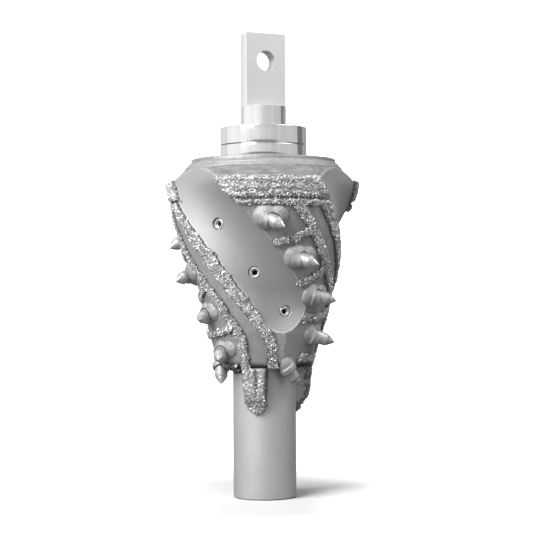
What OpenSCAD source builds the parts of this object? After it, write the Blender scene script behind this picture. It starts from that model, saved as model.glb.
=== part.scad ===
// Fluted back reamer with conical buttons and a pulling swivel built into its crown.
// Millimetres. Z runs up the tool from the open end of the mandrel, and azimuth 0 faces -Y.
// Azimuth grows towards +X. Heights on the cone are counted from its small lower face, the nose.

/* [Mandrel] */
// Radius of the round stem
mandrel_r = 40.7; // [39:0.1:43]
// Length of stem below the cone
stem_len = 169; // [150:1:190]
// Radius of the water bore
water_r = 16; // [10:0.5:18]
// Radius of the plain counterbore at the mouth of the socket
socket_r = 28.5; // [27:0.1:31]
// Depth of the counterbore
socket_mouth = 14; // [10:1:20]
// Length of the tapered thread above the counterbore
thread_len = 76; // [60:1:85]
// Radius of the thread's root at its small end
thread_end_r = 21; // [19:0.5:23]
// Pitch of the tapered thread
thread_pitch = 8; // [6:0.5:10]
// Depth of the thread
thread_depth = 2; // [1:0.25:3]
// Chamfer on the stem's lower rim
stem_chamfer = 1.5; // [0.5:0.5:3]

/* [Cone] */
// Radius of the cone at its nose
nose_r = 58.5; // [56:0.5:62]
// Height of the cone up to its widest ring
cone_h = 235; // [220:1:250]
// Radius of the widest ring
equator_r = 122.9; // [118:0.1:128]
// Half angle of the lower cone
cone_angle = 16.8; // [15.5:0.1:18]
// Height where the straight cone starts to round over
ease_h = 142; // [110:1:160]
// Height of the shoulder above the widest ring
shoulder_h = 27; // [22:1:32]
// Radius of the shoulder's top and of the crown plate
crown_r = 93.5; // [88:0.5:98]
// Thickness of the crown plate
crown_t = 6; // [5:0.5:9]
// Fall of each wing's face from its middle to its edges
edge_fall = 4.5; // [3:0.5:6]

/* [Flutes] */
// Azimuth of the front flute at the widest ring
flute_top_az = -56; // [-70:1:-40]
// Twist of the flutes in degrees per millimetre of height
twist = 0.47; // [0.4:0.01:0.52]
// Height below which the flutes run straight down
straight_h = 77; // [60:1:90]
// Half width of a flute in degrees
flute_half = 26.5; // [23:0.5:29]
// Depth of a flute below its own edges
flute_depth = 14.5; // [10:0.5:17]
// Inward lean of the flutes above the widest ring
flute_lean = 0.08; // [0:0.02:0.2]
// Height where the run-out of a flute begins
runout_top = 97; // [90:1:110]
// Height of the foot of a flute
runout_foot = 45; // [38:1:52]

/* [Buttons] */
// Radius of a button's steel shank
shank_r = 8.4; // [7.5:0.1:9]
// Length of the plain shank outside the cone
shank_out = 20.3; // [18:0.1:23]
// Length of the shank inside its socket
shank_in = 12; // [8:0.5:13]
// Length of the bevel at the shank's end
bevel_len = 3.6; // [3:0.1:5]
// Radius of the carbide tip at its shoulder
tip_r = 5.9; // [5:0.1:6.5]
// Length of the carbide cone
tip_len = 8.1; // [7:0.1:10]
// Radius of the tip's blunt point
point_r = 0.9; // [0.5:0.1:1.5]
// Radius of the tip's stem
stem_r = 4.8; // [4:0.1:5]
// Length of the tip's stem
stem_in = 9; // [6:0.5:12]
// Radius of the ball that the weld round a button is cut from
dome_r = 20; // [18:0.5:22]
// Height of the weld dome over the cone
dome_h = 10; // [8:0.5:11]

/* [Jets] */
// Radius of a jet's port in the flute
port_r = 7.6; // [7:0.1:8.5]
// Depth of the port
port_depth = 9; // [7:0.5:11]
// Radius of the drilling behind a port
drilling_r = 4.5; // [3:0.5:5]
// Radius of a jet's opening
jet_hole_r = 3.4; // [2:0.2:3.8]
// Radius of a jet's bright rim
jet_rim_r = 6.5; // [6:0.1:6.8]

/* [Hard facing] */
// Thickness of the crushed carbide beads
bead_t = 4.5; // [3:0.25:5.5]
// Width of the bead along each wing's trailing edge
edge_bead_w = 19; // [14:0.5:21]
// Width of the bead along the middle of each wing
mid_bead_w = 14; // [10:0.5:16]
// Width of the beads between the buttons
cross_bead_w = 12; // [8:0.5:14]

/* [Fins] */
// Height of the lower end of a fin over the stem's end
fin_foot = 113; // [105:1:120]
// Width of a fin under the cone
fin_w = 30; // [26:0.5:34]
// Width of a fin near its foot
fin_foot_w = 25; // [22:0.5:28]
// Thickness of carbide on a fin
fin_bead_t = 3; // [2:0.25:4]

/* [Swivel] */
// Radius of the swivel's collar and cap
collar_r = 56; // [54:0.5:60]
// Height of the collar above the crown plate
collar_h = 20; // [18:0.5:24]
// Height of the screwed cap
cap_h = 21.4; // [20:0.2:26]
// Radius of the barrel that sits in the cone
barrel_r = 50; // [49:0.5:53]
// Depth of the barrel below the crown plate's top
barrel_depth = 61; // [58:0.5:64]
// Thickness of the barrel's floor
barrel_floor = 10; // [6:0.5:12]
// Outer radius of the bearings
bearing_r = 45; // [44:0.5:46]
// Width of one bearing
bearing_w = 21; // [20:0.5:22]
// Radius of the shaft inside the bearings
journal_r = 25; // [24:0.2:26]
// Depth of the cap's spigot inside the collar
spigot_h = 11; // [9:0.5:12]
// Rollers in each bearing
rollers = 16; // [12:1:16]
// Radius of the lock nut
nut_r = 33; // [30:0.5:35]
// Height of the lock nut
nut_h = 12; // [9:0.5:13]

/* [Shaft] */
// Radius of the swivel shaft
shaft_r = 29.5; // [28:0.1:30]
// Length of round shaft above the cap
neck_h = 27.3; // [22:0.1:35]
// Height of the flat tang
tang_h = 95.6; // [80:0.1:110]
// Thickness of the tang
tang_t = 18; // [15:0.5:22]
// Azimuth that the tang's face looks to
tang_az = 26.8; // [0:0.1:60]
// Radius of the towing eye
eye_r = 13.3; // [10:0.1:15]
// Distance of the eye below the tang's top
eye_drop = 35.8; // [28:0.1:45]

/* [Fits] */
// Radial gap at a weld or a pressed seat
seat_gap = 0.1; // [0.05:0.05:0.2]
// Radial gap between the shaft and its seal
running_gap = 0.08; // [0.04:0.01:0.1]
// Gap round each bearing roller
roller_gap = 0.06; // [0.04:0.01:0.1]
// Radial gap between the shaft and the cap
cap_gap = 0.5; // [0.3:0.1:1]

/* [Hidden] */
$fn = 72;
WINGS = ["a", "b", "c"];
BUTTONS = 5;
far = 400;
lap = 1;

// Heights of the tool's main levels
nose_z = stem_len;
equator_z = nose_z + cone_h;
shoulder_z = equator_z + shoulder_h;
crown_z = shoulder_z + crown_t;
barrel_z = crown_z - barrel_depth;
collar_z = crown_z + collar_h;
cap_z = collar_z + cap_h;
bearing_top = collar_z - spigot_h;
bearing_mid = bearing_top - bearing_w;
bearing_low = bearing_mid - bearing_w;
tang_z = cap_z + neck_h;
top_z = tang_z + tang_h;
eye_z = top_z - eye_drop;

// The three wings and the flutes between them
pitch = 360 / len(WINGS);
shoulder_len = runout_top - runout_foot;
ease_k = (nose_r + cone_h * tan(cone_angle) - equator_r) / pow(cone_h - ease_h, 2);
flute_cols = 8;
wing_cols = 8;
foot_share = 0.2;

// Buttons, jets and beads are placed on a cone this high, and the whole pattern stretches with it
pattern_h = 235;

// Each wing's buttons: azimuth past the flute's centre line, and height over the nose
button_spots = [
    [[35, 168], [38, 121], [34, 69], [46, 22], [10, 4]],
    [[36, 189], [36, 140], [35, 92], [39, 42], [11, 3]],
    [[36, 179], [37, 131], [37, 81], [46, 31], [10, 4]]
];
// How far each button leans round the tool, dips, and sits below the cone's face
button_lean = [
    [53, 42, 52, 48, 91],
    [50, 38, 48, 44, 91],
    [50, 38, 48, 44, 91]
];
button_dip = [25, 19, 13, 19, 53];
button_sink = [0, 0, 0, 0, 4];

// The jets of each flute, placed like the buttons
jet_spots = [[-6.5, 182], [-6.5, 121], [5.5, 72]];

// Carbide beads: the lines give azimuth past the flute's centre line at each height over the nose
edge_line = [
    [2, 112], [20, 110.5], [33, 108.5], [46, 103], [67, 92], [77, 88], [97, 85.5], [120, 86], [200, 86]
];
mid_line = [
    [2, 78.5], [33, 79], [43, 76], [54, 72], [65, 66.5], [84, 62.5], [100, 61], [124, 59], [147, 59],
    [166, 60.5], [201, 62.5]
];
edge_share = [[2, 0.75], [46, 0.72], [97, 0.9], [140, 1], [200, 0.85]];
line_top = 201;
line_foot = 2;
line_rows = 18;
// How far each wing's lines and the end of its top block are turned above the middle of the cone
edge_shift = [1, -3, -1];
mid_shift = [4, 0, 2];
shift_from = 90;
shift_to = 150;
block_start = 28;
block_ends = [96, 91, 93];
// Drops from the widest ring to the lower and upper edges of the top block and of the row under it
block_low = 22;
block_high = -5;
row_span = [28, 84];
row_low = 32;
row_high = 23.5;
// Cross beads run from a start [azimuth, height] up to the middle line, rising by the third number
cross_runs = [[28.5, 157, 20], [28.5, 108, 22], [25, 63, 11], [30, 13, 3]];
cross_bow = 3;
cross_rows = 5;
wing_drop = [-21, 0, -10];
cross_floor = 8;
bead_sink = 0.4;

// Fins below the nose
fin_rel = [88.5, 88.5, 66];
fin_neck = 26;
fin_toe = 6;

// Bearing geometry: races and rollers share one apex on the axis
race_tilt = 14;
roller_mid_r = 36;
roller_mean = 4.4;
roller_len = 14;
cage_half = 0.5;
cage_reach = 9.5;
apex_up = roller_mid_r / tan(race_tilt);
apex_len = roller_mid_r / sin(race_tilt);
roller_half = atan(roller_mean / apex_len);
cone_end_gap = 0.5;
cone_rim = bearing_mid + bearing_w - cone_end_gap;

function clamp(x, low, high) = min(high, max(low, x));
function mix(a, b, t) = a + (b - a) * t;
function at(az, r, z) = [r * sin(az), -r * cos(az), z];
function unit(v) = v / norm(v);
function drawn(h) = h * cone_h / pattern_h;
function on_cone(spot) = [spot[0], drawn(spot[1])];

// Radius of a wing's middle at height h over the nose
function wing_r(h) =
    let (e = max(0, h - ease_h))
    h <= cone_h ? nose_r + h * tan(cone_angle) - ease_k * e * e : equator_r - flute_lean * (h - cone_h);
// Radius of the bevelled shoulder above the widest ring
function shoulder_r(h) = equator_r - (h - cone_h) * (equator_r - crown_r) / shoulder_h;
// Azimuth of the front flute's centre line
function flute_az(h) = flute_top_az + twist * (cone_h - clamp(h, straight_h, cone_h));
// 0 along the full flute, rising to 1 at its foot
function runout(h) = clamp((runout_top - h) / shoulder_len, 0, 1);

// Radius of the cone's face, rel degrees past a flute's centre line
function face_r(rel, h) =
    let (
        q = rel - pitch * round(rel / pitch),
        t = runout(h),
        u = q / flute_half,
        w = (pitch / 2 - abs(q)) / (pitch / 2 - flute_half),
        fall = edge_fall * (1 - t) * min(1, w * w),
        scoop = flute_depth * max(0, 1 - u * u - t * t),
        r = wing_r(h) - fall - scoop
    )
    h > cone_h ? min(r, shoulder_r(h)) : r;

// Azimuth by which wing i is turned from the wing right of the front flute
function wing_turn(i) = pitch * (i - 1);
function face_az(i, rel, h) = flute_az(h) + wing_turn(i) + rel;
function face_point(i, rel, h, lift) = at(face_az(i, rel, h), face_r(rel, h) + lift, nose_z + h);

// Faces of a stack of m-pointed rings, each ring running counter-clockwise round the stack
function side_faces(n, m) = [
    for (i = [0:n - 2]) for (j = [0:m - 1])
        let (a = i * m + j, b = i * m + (j + 1) % m)
        each [[a, a + m, b + m], [a, b + m, b]]
];
function flat_caps(n, m) = [[for (j = [0:m - 1]) j], [for (j = [m - 1:-1:0]) (n - 1) * m + j]];
function fan_caps(n, m) = [
    for (j = [1:m - 2]) each [[0, j, j + 1], [(n - 1) * m, (n - 1) * m + j + 1, (n - 1) * m + j]]
];

module stack(rings, flat = false) {
    n = len(rings);
    m = len(rings[0]);
    points = [for (ring = rings) each ring];
    polyhedron(points, concat(side_faces(n, m), flat ? flat_caps(n, m) : fan_caps(n, m)), convexity = 8);
}

// Places what follows on the axis line that leaves the tool's axis at az and z
module out_at(az, z, dip = 0) translate([0, 0, z]) rotate([0, 90 + dip, az - 90]) children();

module tapered_socket() {
    steps = floor(thread_len / thread_pitch);
    pull = (socket_r - thread_end_r) / thread_len;
    rings = [for (i = [0:steps - 1]) each [
        [socket_r - i * thread_pitch * pull, socket_mouth + i * thread_pitch],
        [socket_r - thread_depth - (i + 0.5) * thread_pitch * pull, socket_mouth + (i + 0.5) * thread_pitch]
    ]];
    rotate_extrude()
        polygon(concat([[0, -lap], [socket_r, -lap]], rings, [
            [thread_end_r - thread_depth, socket_mouth + thread_len],
            [0, socket_mouth + thread_len]
        ]));
}

// Places what follows on the axis line of a jet
module at_jet(i, spot) {
    place = on_cone(spot);
    out_at(face_az(i, place[0], place[1]), nose_z + place[1])
        children();
}
function jet_face(spot) = face_r(spot[0], drawn(spot[1]));

module jet_lines(r, from, to) {
    for (i = [0:len(WINGS) - 1])
        for (spot = jet_spots)
            at_jet(i, spot)
                translate([0, 0, from])
                    cylinder(h = to - from, r = r);
}

module mandrel() {
    water_top = nose_z + drawn(jet_spots[0][1]) + drilling_r + lap;
    color("#a9a9a9")
    difference() {
        union() {
            cylinder(h = stem_chamfer, r1 = mandrel_r - stem_chamfer, r2 = mandrel_r);
            translate([0, 0, stem_chamfer])
                cylinder(h = barrel_z - stem_chamfer, r = mandrel_r);
        }
        tapered_socket();
        cylinder(h = water_top, r = water_r);
        jet_lines(drilling_r, water_r / 2, mandrel_r + lap);
    }
}

function half_at(h) = flute_half * max(foot_share, sqrt(1 - pow(runout(h), 2)));
function column_rel(j, h) = j < flute_cols
    ? mix(-1, 1, j / flute_cols) * half_at(h)
    : mix(half_at(h), pitch - half_at(h), (j - flute_cols) / wing_cols);

function cone_ring(h) = [
    for (i = [0:len(WINGS) - 1]) for (j = [0:flute_cols + wing_cols - 1])
        face_point(i, column_rel(j, h), h, 0)
];

module fluted_cone() {
    levels = concat(
        [0, runout_foot / 2, runout_foot],
        [for (a = [12:13:90]) runout_top - cos(a) * shoulder_len],
        [for (i = [1:8]) mix(runout_top, cone_h, i / 8)],
        [for (i = [1:6]) cone_h + shoulder_h * i / 6]
    );
    stack([for (h = levels) cone_ring(h)], true);
}

// Places what follows at a button's root, with Z along the button
module at_button(i, k) {
    spot = on_cone(button_spots[i][k]);
    az = face_az(i, spot[0], spot[1]);
    translate(face_point(i, spot[0], spot[1], -button_sink[k]))
        rotate([0, 90 + button_dip[k], az + button_lean[i][k] - 90])
            children();
}

// Places what follows at a button's root, with Z square to the cone
module at_button_face(i, k) {
    spot = on_cone(button_spots[i][k]);
    translate(face_point(i, spot[0], spot[1], 0))
        rotate([0, 90 + cone_angle, face_az(i, spot[0], spot[1]) - 90])
            children();
}

module cone_body() {
    color("#a3a3a3")
    difference() {
        fluted_cone();
        translate([0, 0, nose_z - lap])
            cylinder(h = barrel_z - nose_z + 2 * lap, r = mandrel_r + seat_gap);
        translate([0, 0, barrel_z])
            cylinder(h = barrel_depth + lap, r = barrel_r + seat_gap);
        jet_lines(drilling_r, mandrel_r - lap, equator_r);
        for (i = [0:len(WINGS) - 1])
            for (spot = jet_spots)
                at_jet(i, spot)
                    translate([0, 0, jet_face(spot) - port_depth])
                        cylinder(h = equator_r, r = port_r);
        for (i = [0:len(WINGS) - 1])
            for (k = [0:BUTTONS - 1])
                at_button(i, k)
                    translate([0, 0, -shank_in - seat_gap])
                        cylinder(h = shank_in + far / 10, r = shank_r + seat_gap);
    }
}

module crown_plate() {
    rim = crown_t / 3;
    color("#b0b0b0")
    translate([0, 0, shoulder_z])
        rotate_extrude()
            polygon([
                [barrel_r + seat_gap, 0], [crown_r, 0], [crown_r, crown_t - rim],
                [crown_r - rim * 0.3, crown_t - rim * 0.3], [crown_r - rim, crown_t],
                [barrel_r + seat_gap, crown_t]
            ]);
}

// Two ring welds: under the crown plate's rim, and round the foot of the collar
module crown_welds() {
    leg = 8;
    throat = 2;
    crest = 1.1;
    fillet = 3.5;
    slope = (equator_r - crown_r) / shoulder_h;
    rim_r = crown_r + seat_gap;
    // A double pass, from [share of the leg, height of its surface over the shoulder]
    passes = [[1, 0], [0.85, 1], [0.5, 0.4], [0.15, 1]];
    color("#b5b5b5") {
        translate([0, 0, shoulder_z])
            rotate_extrude()
                polygon(concat([[rim_r, throat], [rim_r, 0]], [
                    for (p = passes)
                        [rim_r, 0] + p[0] * leg * [slope, -1] + p[1] * crest * [1, slope]
                ], [[rim_r + crest * 0.8, throat * 0.7]]));
        translate([0, 0, crown_z])
            rotate_extrude()
                polygon([
                    [collar_r + seat_gap, 0], [collar_r + fillet, 0],
                    [collar_r + fillet * 0.45, fillet * 0.5], [collar_r + seat_gap, fillet]
                ]);
    }
}

// Side view of a fin as [radius, height over the fin's foot], grown outwards by t
function fin_edge(t) = [
    [nose_r + 0.5 + t, nose_z - fin_foot],
    [nose_r - 2 + t, fin_neck],
    [nose_r - 4.7 + t, fin_neck - 10],
    [mandrel_r + 3.5 + t, fin_toe + t / 2]
];

module fin_outline(grow = 0) {
    foot_r = fin_foot_w / 2 + grow;
    top = nose_z - fin_foot;
    polygon([
        [-fin_w / 2 - grow, top], [-foot_r, foot_r], [foot_r, foot_r], [fin_w / 2 + grow, top]
    ]);
    translate([0, foot_r])
        circle(r = foot_r);
}

module fin_blank(i, side, grow = 0) {
    az = face_az(i, fin_rel[i], 0);
    intersection() {
        translate([0, 0, fin_foot])
            rotate_extrude()
                polygon(side);
        translate([0, 0, fin_foot])
            rotate([90, 0, az])
                linear_extrude(height = nose_r * 2)
                    fin_outline(grow);
    }
}

module lead_fin(i) {
    inner = mandrel_r + seat_gap;
    color("#a9a9a9")
        fin_blank(i, concat([[inner, 0], [inner, nose_z - fin_foot]], fin_edge(0), [[mandrel_r + 1.5, 0]]));
}

// Cross-section of a bead: across from its middle, and up from the steel
bead_ring = [[0, 0], [1, 0], [1, 0.4], [0.6, 0.88], [0, 1], [-0.6, 0.88], [-1, 0.4], [-1, 0]];
function bead_lift(v, t) = v == 0 ? -bead_sink : v * t;

// A patch of beads between two azimuths and two drops from the widest ring
module bead_patch(i, from, to, drop_low, drop_high) {
    steps = 12;
    low = cone_h - drawn(drop_low);
    high = cone_h - drawn(drop_high);
    stack([for (s = [0:steps]) [
        for (p = bead_ring)
            face_point(i, mix(from, to, s / steps), mix(low, high, (1 + p[0]) / 2), bead_lift(p[1], bead_t))
    ]]);
}

// One ring of a bead that passes p with direction d
function bead_section(i, p, d, w, t) =
    let (
        az = face_az(i, p[0], p[1]),
        normal = at(az, cos(cone_angle), -sin(cone_angle)),
        side = unit(cross(normal, d)),
        middle = face_point(i, p[0], p[1], 0)
    )
    [for (v = bead_ring)
        let (
            q = middle + side * v[0] * w / 2,
            h = q[2] - nose_z,
            raw = atan2(q[0], -q[1]) - face_az(i, 0, h),
            rel = raw - 360 * round((raw - p[0]) / 360)
        )
        face_point(i, rel, h, bead_lift(v[1], t))];

// A bead laid through stops of [azimuth past the flute, height, width] on wing i
module bead(i, stops, t) {
    last = len(stops) - 1;
    stack([for (j = [0:last])
        let (
            before = stops[max(0, j - 1)],
            after = stops[min(last, j + 1)],
            d = unit(face_point(i, after[0], after[1], 0) - face_point(i, before[0], before[1], 0))
        )
        bead_section(i, stops[j], d, stops[j][2], t)]);
}

function shifted(line, shift, h) =
    lookup(h, line) + shift * clamp((h - shift_from) / (shift_to - shift_from), 0, 1);
function line_height(j) = mix(line_top, line_foot, j / line_rows);

module line_bead(i, line, shift, share, w, t) {
    bead(i, [for (j = [0:line_rows])
        let (h = line_height(j))
        [shifted(line, shift, h), drawn(h), w * lookup(h, share)]], t);
}

module cross_bead(i, run, t) {
    low = run[1] + wing_drop[i];
    high = low + run[2];
    end = shifted(mid_line, mid_shift[i], high);
    bead(i, [for (j = [0:cross_rows])
        let (s = j / cross_rows)
        [mix(run[0], end, s), drawn(mix(low, high, s) - cross_bow * sin(180 * s)), cross_bead_w]], t);
}

module hardfacing(i) {
    skirt = [for (j = [3:-1:0]) fin_edge(seat_gap)[j]];
    color("#8f8f8f") {
        bead_patch(i, block_start, block_ends[i], block_low, block_high);
        bead_patch(i, row_span[0], row_span[1], row_low, row_high);
        line_bead(i, edge_line, edge_shift[i], edge_share, edge_bead_w, bead_t);
        line_bead(i, mid_line, mid_shift[i], [[0, 1]], mid_bead_w, bead_t);
        for (run = cross_runs)
            if (run[1] + wing_drop[i] > cross_floor)
                cross_bead(i, run, bead_t);
        fin_blank(i, concat(fin_edge(fin_bead_t), [[mandrel_r + 2, 1.5]], skirt), 0.5);
    }
}

module button_welds(i) {
    neck_len = 15;
    neck_r = dome_r * 0.66;
    color("#b2b2b2")
    for (k = [0:BUTTONS - 1])
        difference() {
            union() {
                at_button_face(i, k)
                    intersection() {
                        translate([0, 0, dome_h - dome_r])
                            sphere(r = dome_r);
                        translate([0, 0, -2.5])
                            cylinder(h = dome_r, r = dome_r);
                    }
                at_button(i, k)
                    translate([0, 0, button_sink[k]])
                        cylinder(h = neck_len - button_sink[k], r1 = neck_r, r2 = shank_r + 0.8);
            }
            at_button(i, k)
                translate([0, 0, -far / 10])
                    cylinder(h = far / 5, r = shank_r + seat_gap);
        }
}

module button(i, k) {
    color("#b9b9b9")
    at_button(i, k)
        difference() {
            union() {
                translate([0, 0, -shank_in])
                    cylinder(h = shank_in + shank_out, r = shank_r);
                translate([0, 0, shank_out])
                    cylinder(h = bevel_len, r1 = shank_r, r2 = tip_r);
            }
            translate([0, 0, shank_out + bevel_len - stem_in])
                cylinder(h = stem_in + lap, r = stem_r + seat_gap);
        }
}

module carbide_tip(i, k) {
    color("#6f7276")
    at_button(i, k)
        translate([0, 0, shank_out + bevel_len])
            rotate_extrude()
                polygon([
                    [0, 0.5 - stem_in], [stem_r, 0.5 - stem_in], [stem_r, 0], [tip_r, 0], [tip_r, 0.5],
                    [point_r, tip_len - point_r * 0.6], [point_r * 0.5, tip_len - point_r * 0.15], [0, tip_len]
                ]);
}

module jets(i) {
    body_r = port_r - seat_gap;
    rim_drop = 1;
    step = 3;
    color("#c8c8c8")
    for (spot = jet_spots)
        at_jet(i, spot)
            translate([0, 0, jet_face(spot)])
                rotate_extrude()
                    polygon([
                        [jet_hole_r, -port_depth], [body_r, -port_depth], [body_r, -step], [jet_rim_r, -step],
                        [jet_rim_r, -rim_drop - 0.4], [jet_rim_r - 0.4, -rim_drop], [jet_hole_r + 1, -rim_drop],
                        [jet_hole_r, -rim_drop - 2]
                    ]);
}

module swivel_housing() {
    edge = 0.8;
    sump_r = bearing_r - 7;
    color("#c6c6c6")
    difference() {
        rotate_extrude()
            polygon([
                [0, barrel_z], [barrel_r, barrel_z], [barrel_r, crown_z], [collar_r, crown_z],
                [collar_r, collar_z - edge], [collar_r - edge, collar_z], [0, collar_z]
            ]);
        translate([0, 0, barrel_z + barrel_floor])
            cylinder(h = far, r = sump_r);
        translate([0, 0, bearing_low])
            cylinder(h = far, r = bearing_r);
    }
}

// Places what follows in the grease port at the back of the cap
module at_grease_port() {
    port_az = 150;
    out_at(port_az, collar_z + 6)
        children();
}

seal_z = cap_z - 10.4;
seal_h = 7;
seal_r = shaft_r + 7.5;
plug_r = 4.4;
plug_len = 8;

module swivel_cap() {
    edge = 0.8;
    spigot_r = bearing_r - seat_gap;
    inside_r = bearing_r - 6.5;
    color("#cfcfcf")
    difference() {
        rotate_extrude()
            difference() {
                polygon([
                    [inside_r, bearing_top], [spigot_r, bearing_top], [spigot_r, collar_z],
                    [collar_r - edge, collar_z], [collar_r, collar_z + edge], [collar_r, cap_z - edge],
                    [collar_r - edge, cap_z], [shaft_r + cap_gap, cap_z], [shaft_r + cap_gap, collar_z],
                    [inside_r, collar_z]
                ]);
                translate([shaft_r, seal_z])
                    square([seal_r - shaft_r, seal_h]);
                translate([spigot_r - ring_depth, bearing_top + spigot_h / 2 - ring_r - ring_room])
                    square([far, 2 * (ring_r + ring_room)]);
            }
        at_grease_port()
            translate([0, 0, collar_r - plug_len])
                cylinder(h = far, r = plug_r + seat_gap);
        at_grease_port()
            translate([0, 0, shaft_r])
                cylinder(h = collar_r - shaft_r, r = 1.6);
    }
}

ring_r = 1.5;
ring_room = 0.2;
ring_depth = 3.1;

module cap_ring() {
    color("#303030")
    translate([0, 0, bearing_top + spigot_h / 2])
        rotate_extrude()
            translate([bearing_r - seat_gap - ring_r, 0])
                circle(r = ring_r, $fn = 24);
}

module shaft_seal() {
    inner = shaft_r + running_gap;
    outer = seal_r - seat_gap;
    color("#2b2b2b")
    translate([0, 0, seal_z])
        rotate_extrude()
            polygon([
                [inner + 2, 0], [outer, 0], [outer, seal_h - seat_gap], [inner + 3.5, seal_h - seat_gap],
                [inner + 3.5, 2.5], [inner + 2, 2.5], [inner + 0.6, seal_h - 1], [inner, seal_h - 1.6], [inner, 2]
            ]);
}

module grease_plug() {
    key_r = 2.4;
    key_depth = 4;
    color("#8c8c8c")
    at_grease_port()
        translate([0, 0, collar_r - plug_len])
            difference() {
                cylinder(h = plug_len - 0.7, r = plug_r);
                translate([0, 0, plug_len - key_depth])
                    cylinder(h = key_depth, r = key_r, $fn = 6);
            }
}

// Stands a bearing on the middle plane, upright for the upper one and turned over for the lower
module at_bearing(upper) {
    translate([0, 0, bearing_mid])
        mirror([0, 0, upper ? 0 : 1])
            children();
}

race_apex = bearing_w / 2 + apex_up;
function race_r(angle, z) = (race_apex - z) * tan(angle);

module cup(upper) {
    angle = race_tilt + roller_half;
    color("#bdbdbd")
    at_bearing(upper)
        rotate_extrude()
            polygon([
                [race_r(angle, 0), 0], [bearing_r - seat_gap, 0], [bearing_r - seat_gap, bearing_w],
                [race_r(angle, bearing_w), bearing_w]
            ]);
}

module inner_cone(upper) {
    angle = race_tilt - roller_half;
    top = bearing_w - cone_end_gap;
    color("#bdbdbd")
    at_bearing(upper)
        rotate_extrude()
            polygon([
                [journal_r + seat_gap, 0], [race_r(angle, 0), 0], [race_r(angle, top), top], [journal_r + seat_gap, top]
            ]);
}

// One tapered roller per step, grown by gap
module roller_set(gap) {
    near = apex_len - roller_len / 2;
    far_end = apex_len + roller_len / 2;
    for (n = [0:rollers - 1])
        rotate([0, 0, n * 360 / rollers])
            translate([0, 0, race_apex])
                rotate([0, 180 - race_tilt, 0])
                    translate([0, 0, near - gap])
                        cylinder(
                            h = roller_len + 2 * gap,
                            r1 = near * tan(roller_half) + gap,
                            r2 = far_end * tan(roller_half) + gap
                        );
}

module cage_shell() {
    rise = cos(race_tilt);
    low = race_apex - (apex_len + cage_reach) * rise;
    high = race_apex - (apex_len - cage_reach) * rise;
    rotate_extrude()
        polygon([
            [race_r(race_tilt - cage_half, low), low], [race_r(race_tilt + cage_half, low), low],
            [race_r(race_tilt + cage_half, high), high], [race_r(race_tilt - cage_half, high), high]
        ]);
}

module roller_row(upper) {
    pocket_gap = 0.35;
    color("#d8d8d8")
    at_bearing(upper)
        roller_set(-roller_gap);
    color("#8a7a4a")
    at_bearing(upper)
        difference() {
            cage_shell();
            roller_set(pocket_gap);
        }
}

module lock_nut() {
    slot_w = 8;
    slot_depth = 4;
    thread_r = journal_r - 3;
    color("#9a9a9a")
    translate([0, 0, bearing_low + cone_end_gap - nut_h])
        difference() {
            cylinder(h = nut_h, r = nut_r);
            translate([0, 0, -lap])
                cylinder(h = nut_h + 2 * lap, r = thread_r + seat_gap);
            for (a = [0:90:270])
                rotate([0, 0, a])
                    translate([nut_r - slot_depth, -slot_w / 2, -lap])
                        cube([slot_depth + lap, slot_w, nut_h + 2 * lap]);
        }
}

module swivel_shaft() {
    edge = 2;
    nut_low = bearing_low + cone_end_gap - nut_h;
    thread_r = journal_r - 3;
    color("#d0d0d0")
    difference() {
        union() {
            translate([0, 0, nut_low - 3])
                cylinder(h = nut_h + 3 + lap, r = thread_r);
            translate([0, 0, bearing_low + cone_end_gap])
                cylinder(h = cone_rim - bearing_low - cone_end_gap, r = journal_r);
            translate([0, 0, cone_rim])
                cylinder(h = tang_z - cone_rim, r = shaft_r);
            intersection() {
                union() {
                    translate([0, 0, tang_z - lap])
                        cylinder(h = lap + tang_h - edge, r = shaft_r);
                    translate([0, 0, top_z - edge])
                        cylinder(h = edge, r1 = shaft_r, r2 = shaft_r - edge);
                }
                rotate([0, 0, tang_az])
                    translate([-shaft_r - lap, -tang_t / 2, tang_z - lap])
                        cube([2 * (shaft_r + lap), tang_t, lap + tang_h]);
            }
        }
        rotate([0, 0, tang_az])
            translate([0, tang_t, eye_z])
                rotate([90, 0, 0])
                    cylinder(h = 2 * tang_t, r = eye_r);
    }
}

mandrel();
cone_body();
crown_plate();
crown_welds();
for (i = [0:len(WINGS) - 1]) {
    lead_fin(i);
    hardfacing(i);
    button_welds(i);
    jets(i);
    for (k = [1:BUTTONS]) {
        button(i, k - 1);
        carbide_tip(i, k - 1);
    }
}
swivel_housing();
swivel_cap();
shaft_seal();
cap_ring();
grease_plug();
cup(true);  // upper_cup
cup(false);  // lower_cup
roller_row(true);  // upper_rollers
roller_row(false);  // lower_rollers
inner_cone(true);  // upper_cone
inner_cone(false);  // lower_cone
lock_nut();
swivel_shaft();
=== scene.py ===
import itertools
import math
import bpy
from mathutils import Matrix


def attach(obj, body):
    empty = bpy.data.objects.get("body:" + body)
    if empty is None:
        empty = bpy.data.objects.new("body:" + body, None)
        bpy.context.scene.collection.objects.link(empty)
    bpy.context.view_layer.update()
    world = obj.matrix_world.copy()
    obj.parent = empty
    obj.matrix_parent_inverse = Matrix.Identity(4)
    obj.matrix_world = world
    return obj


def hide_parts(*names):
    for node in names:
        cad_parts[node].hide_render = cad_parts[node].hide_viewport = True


bl_info = {
    "name": "Button Reamer",
    "version": (1, 0, 0),
    "blender": (4, 5, 0),
    "location": "View3D > Sidebar > Reamer",
    "description": "Dresses the button reamer with weld domes, carbide grit and metal finishes",
    "category": "Object",
}

import bpy
import numpy as np
from bpy.props import FloatProperty, FloatVectorProperty, IntProperty, PointerProperty
from mathutils import Matrix, Vector

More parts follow.
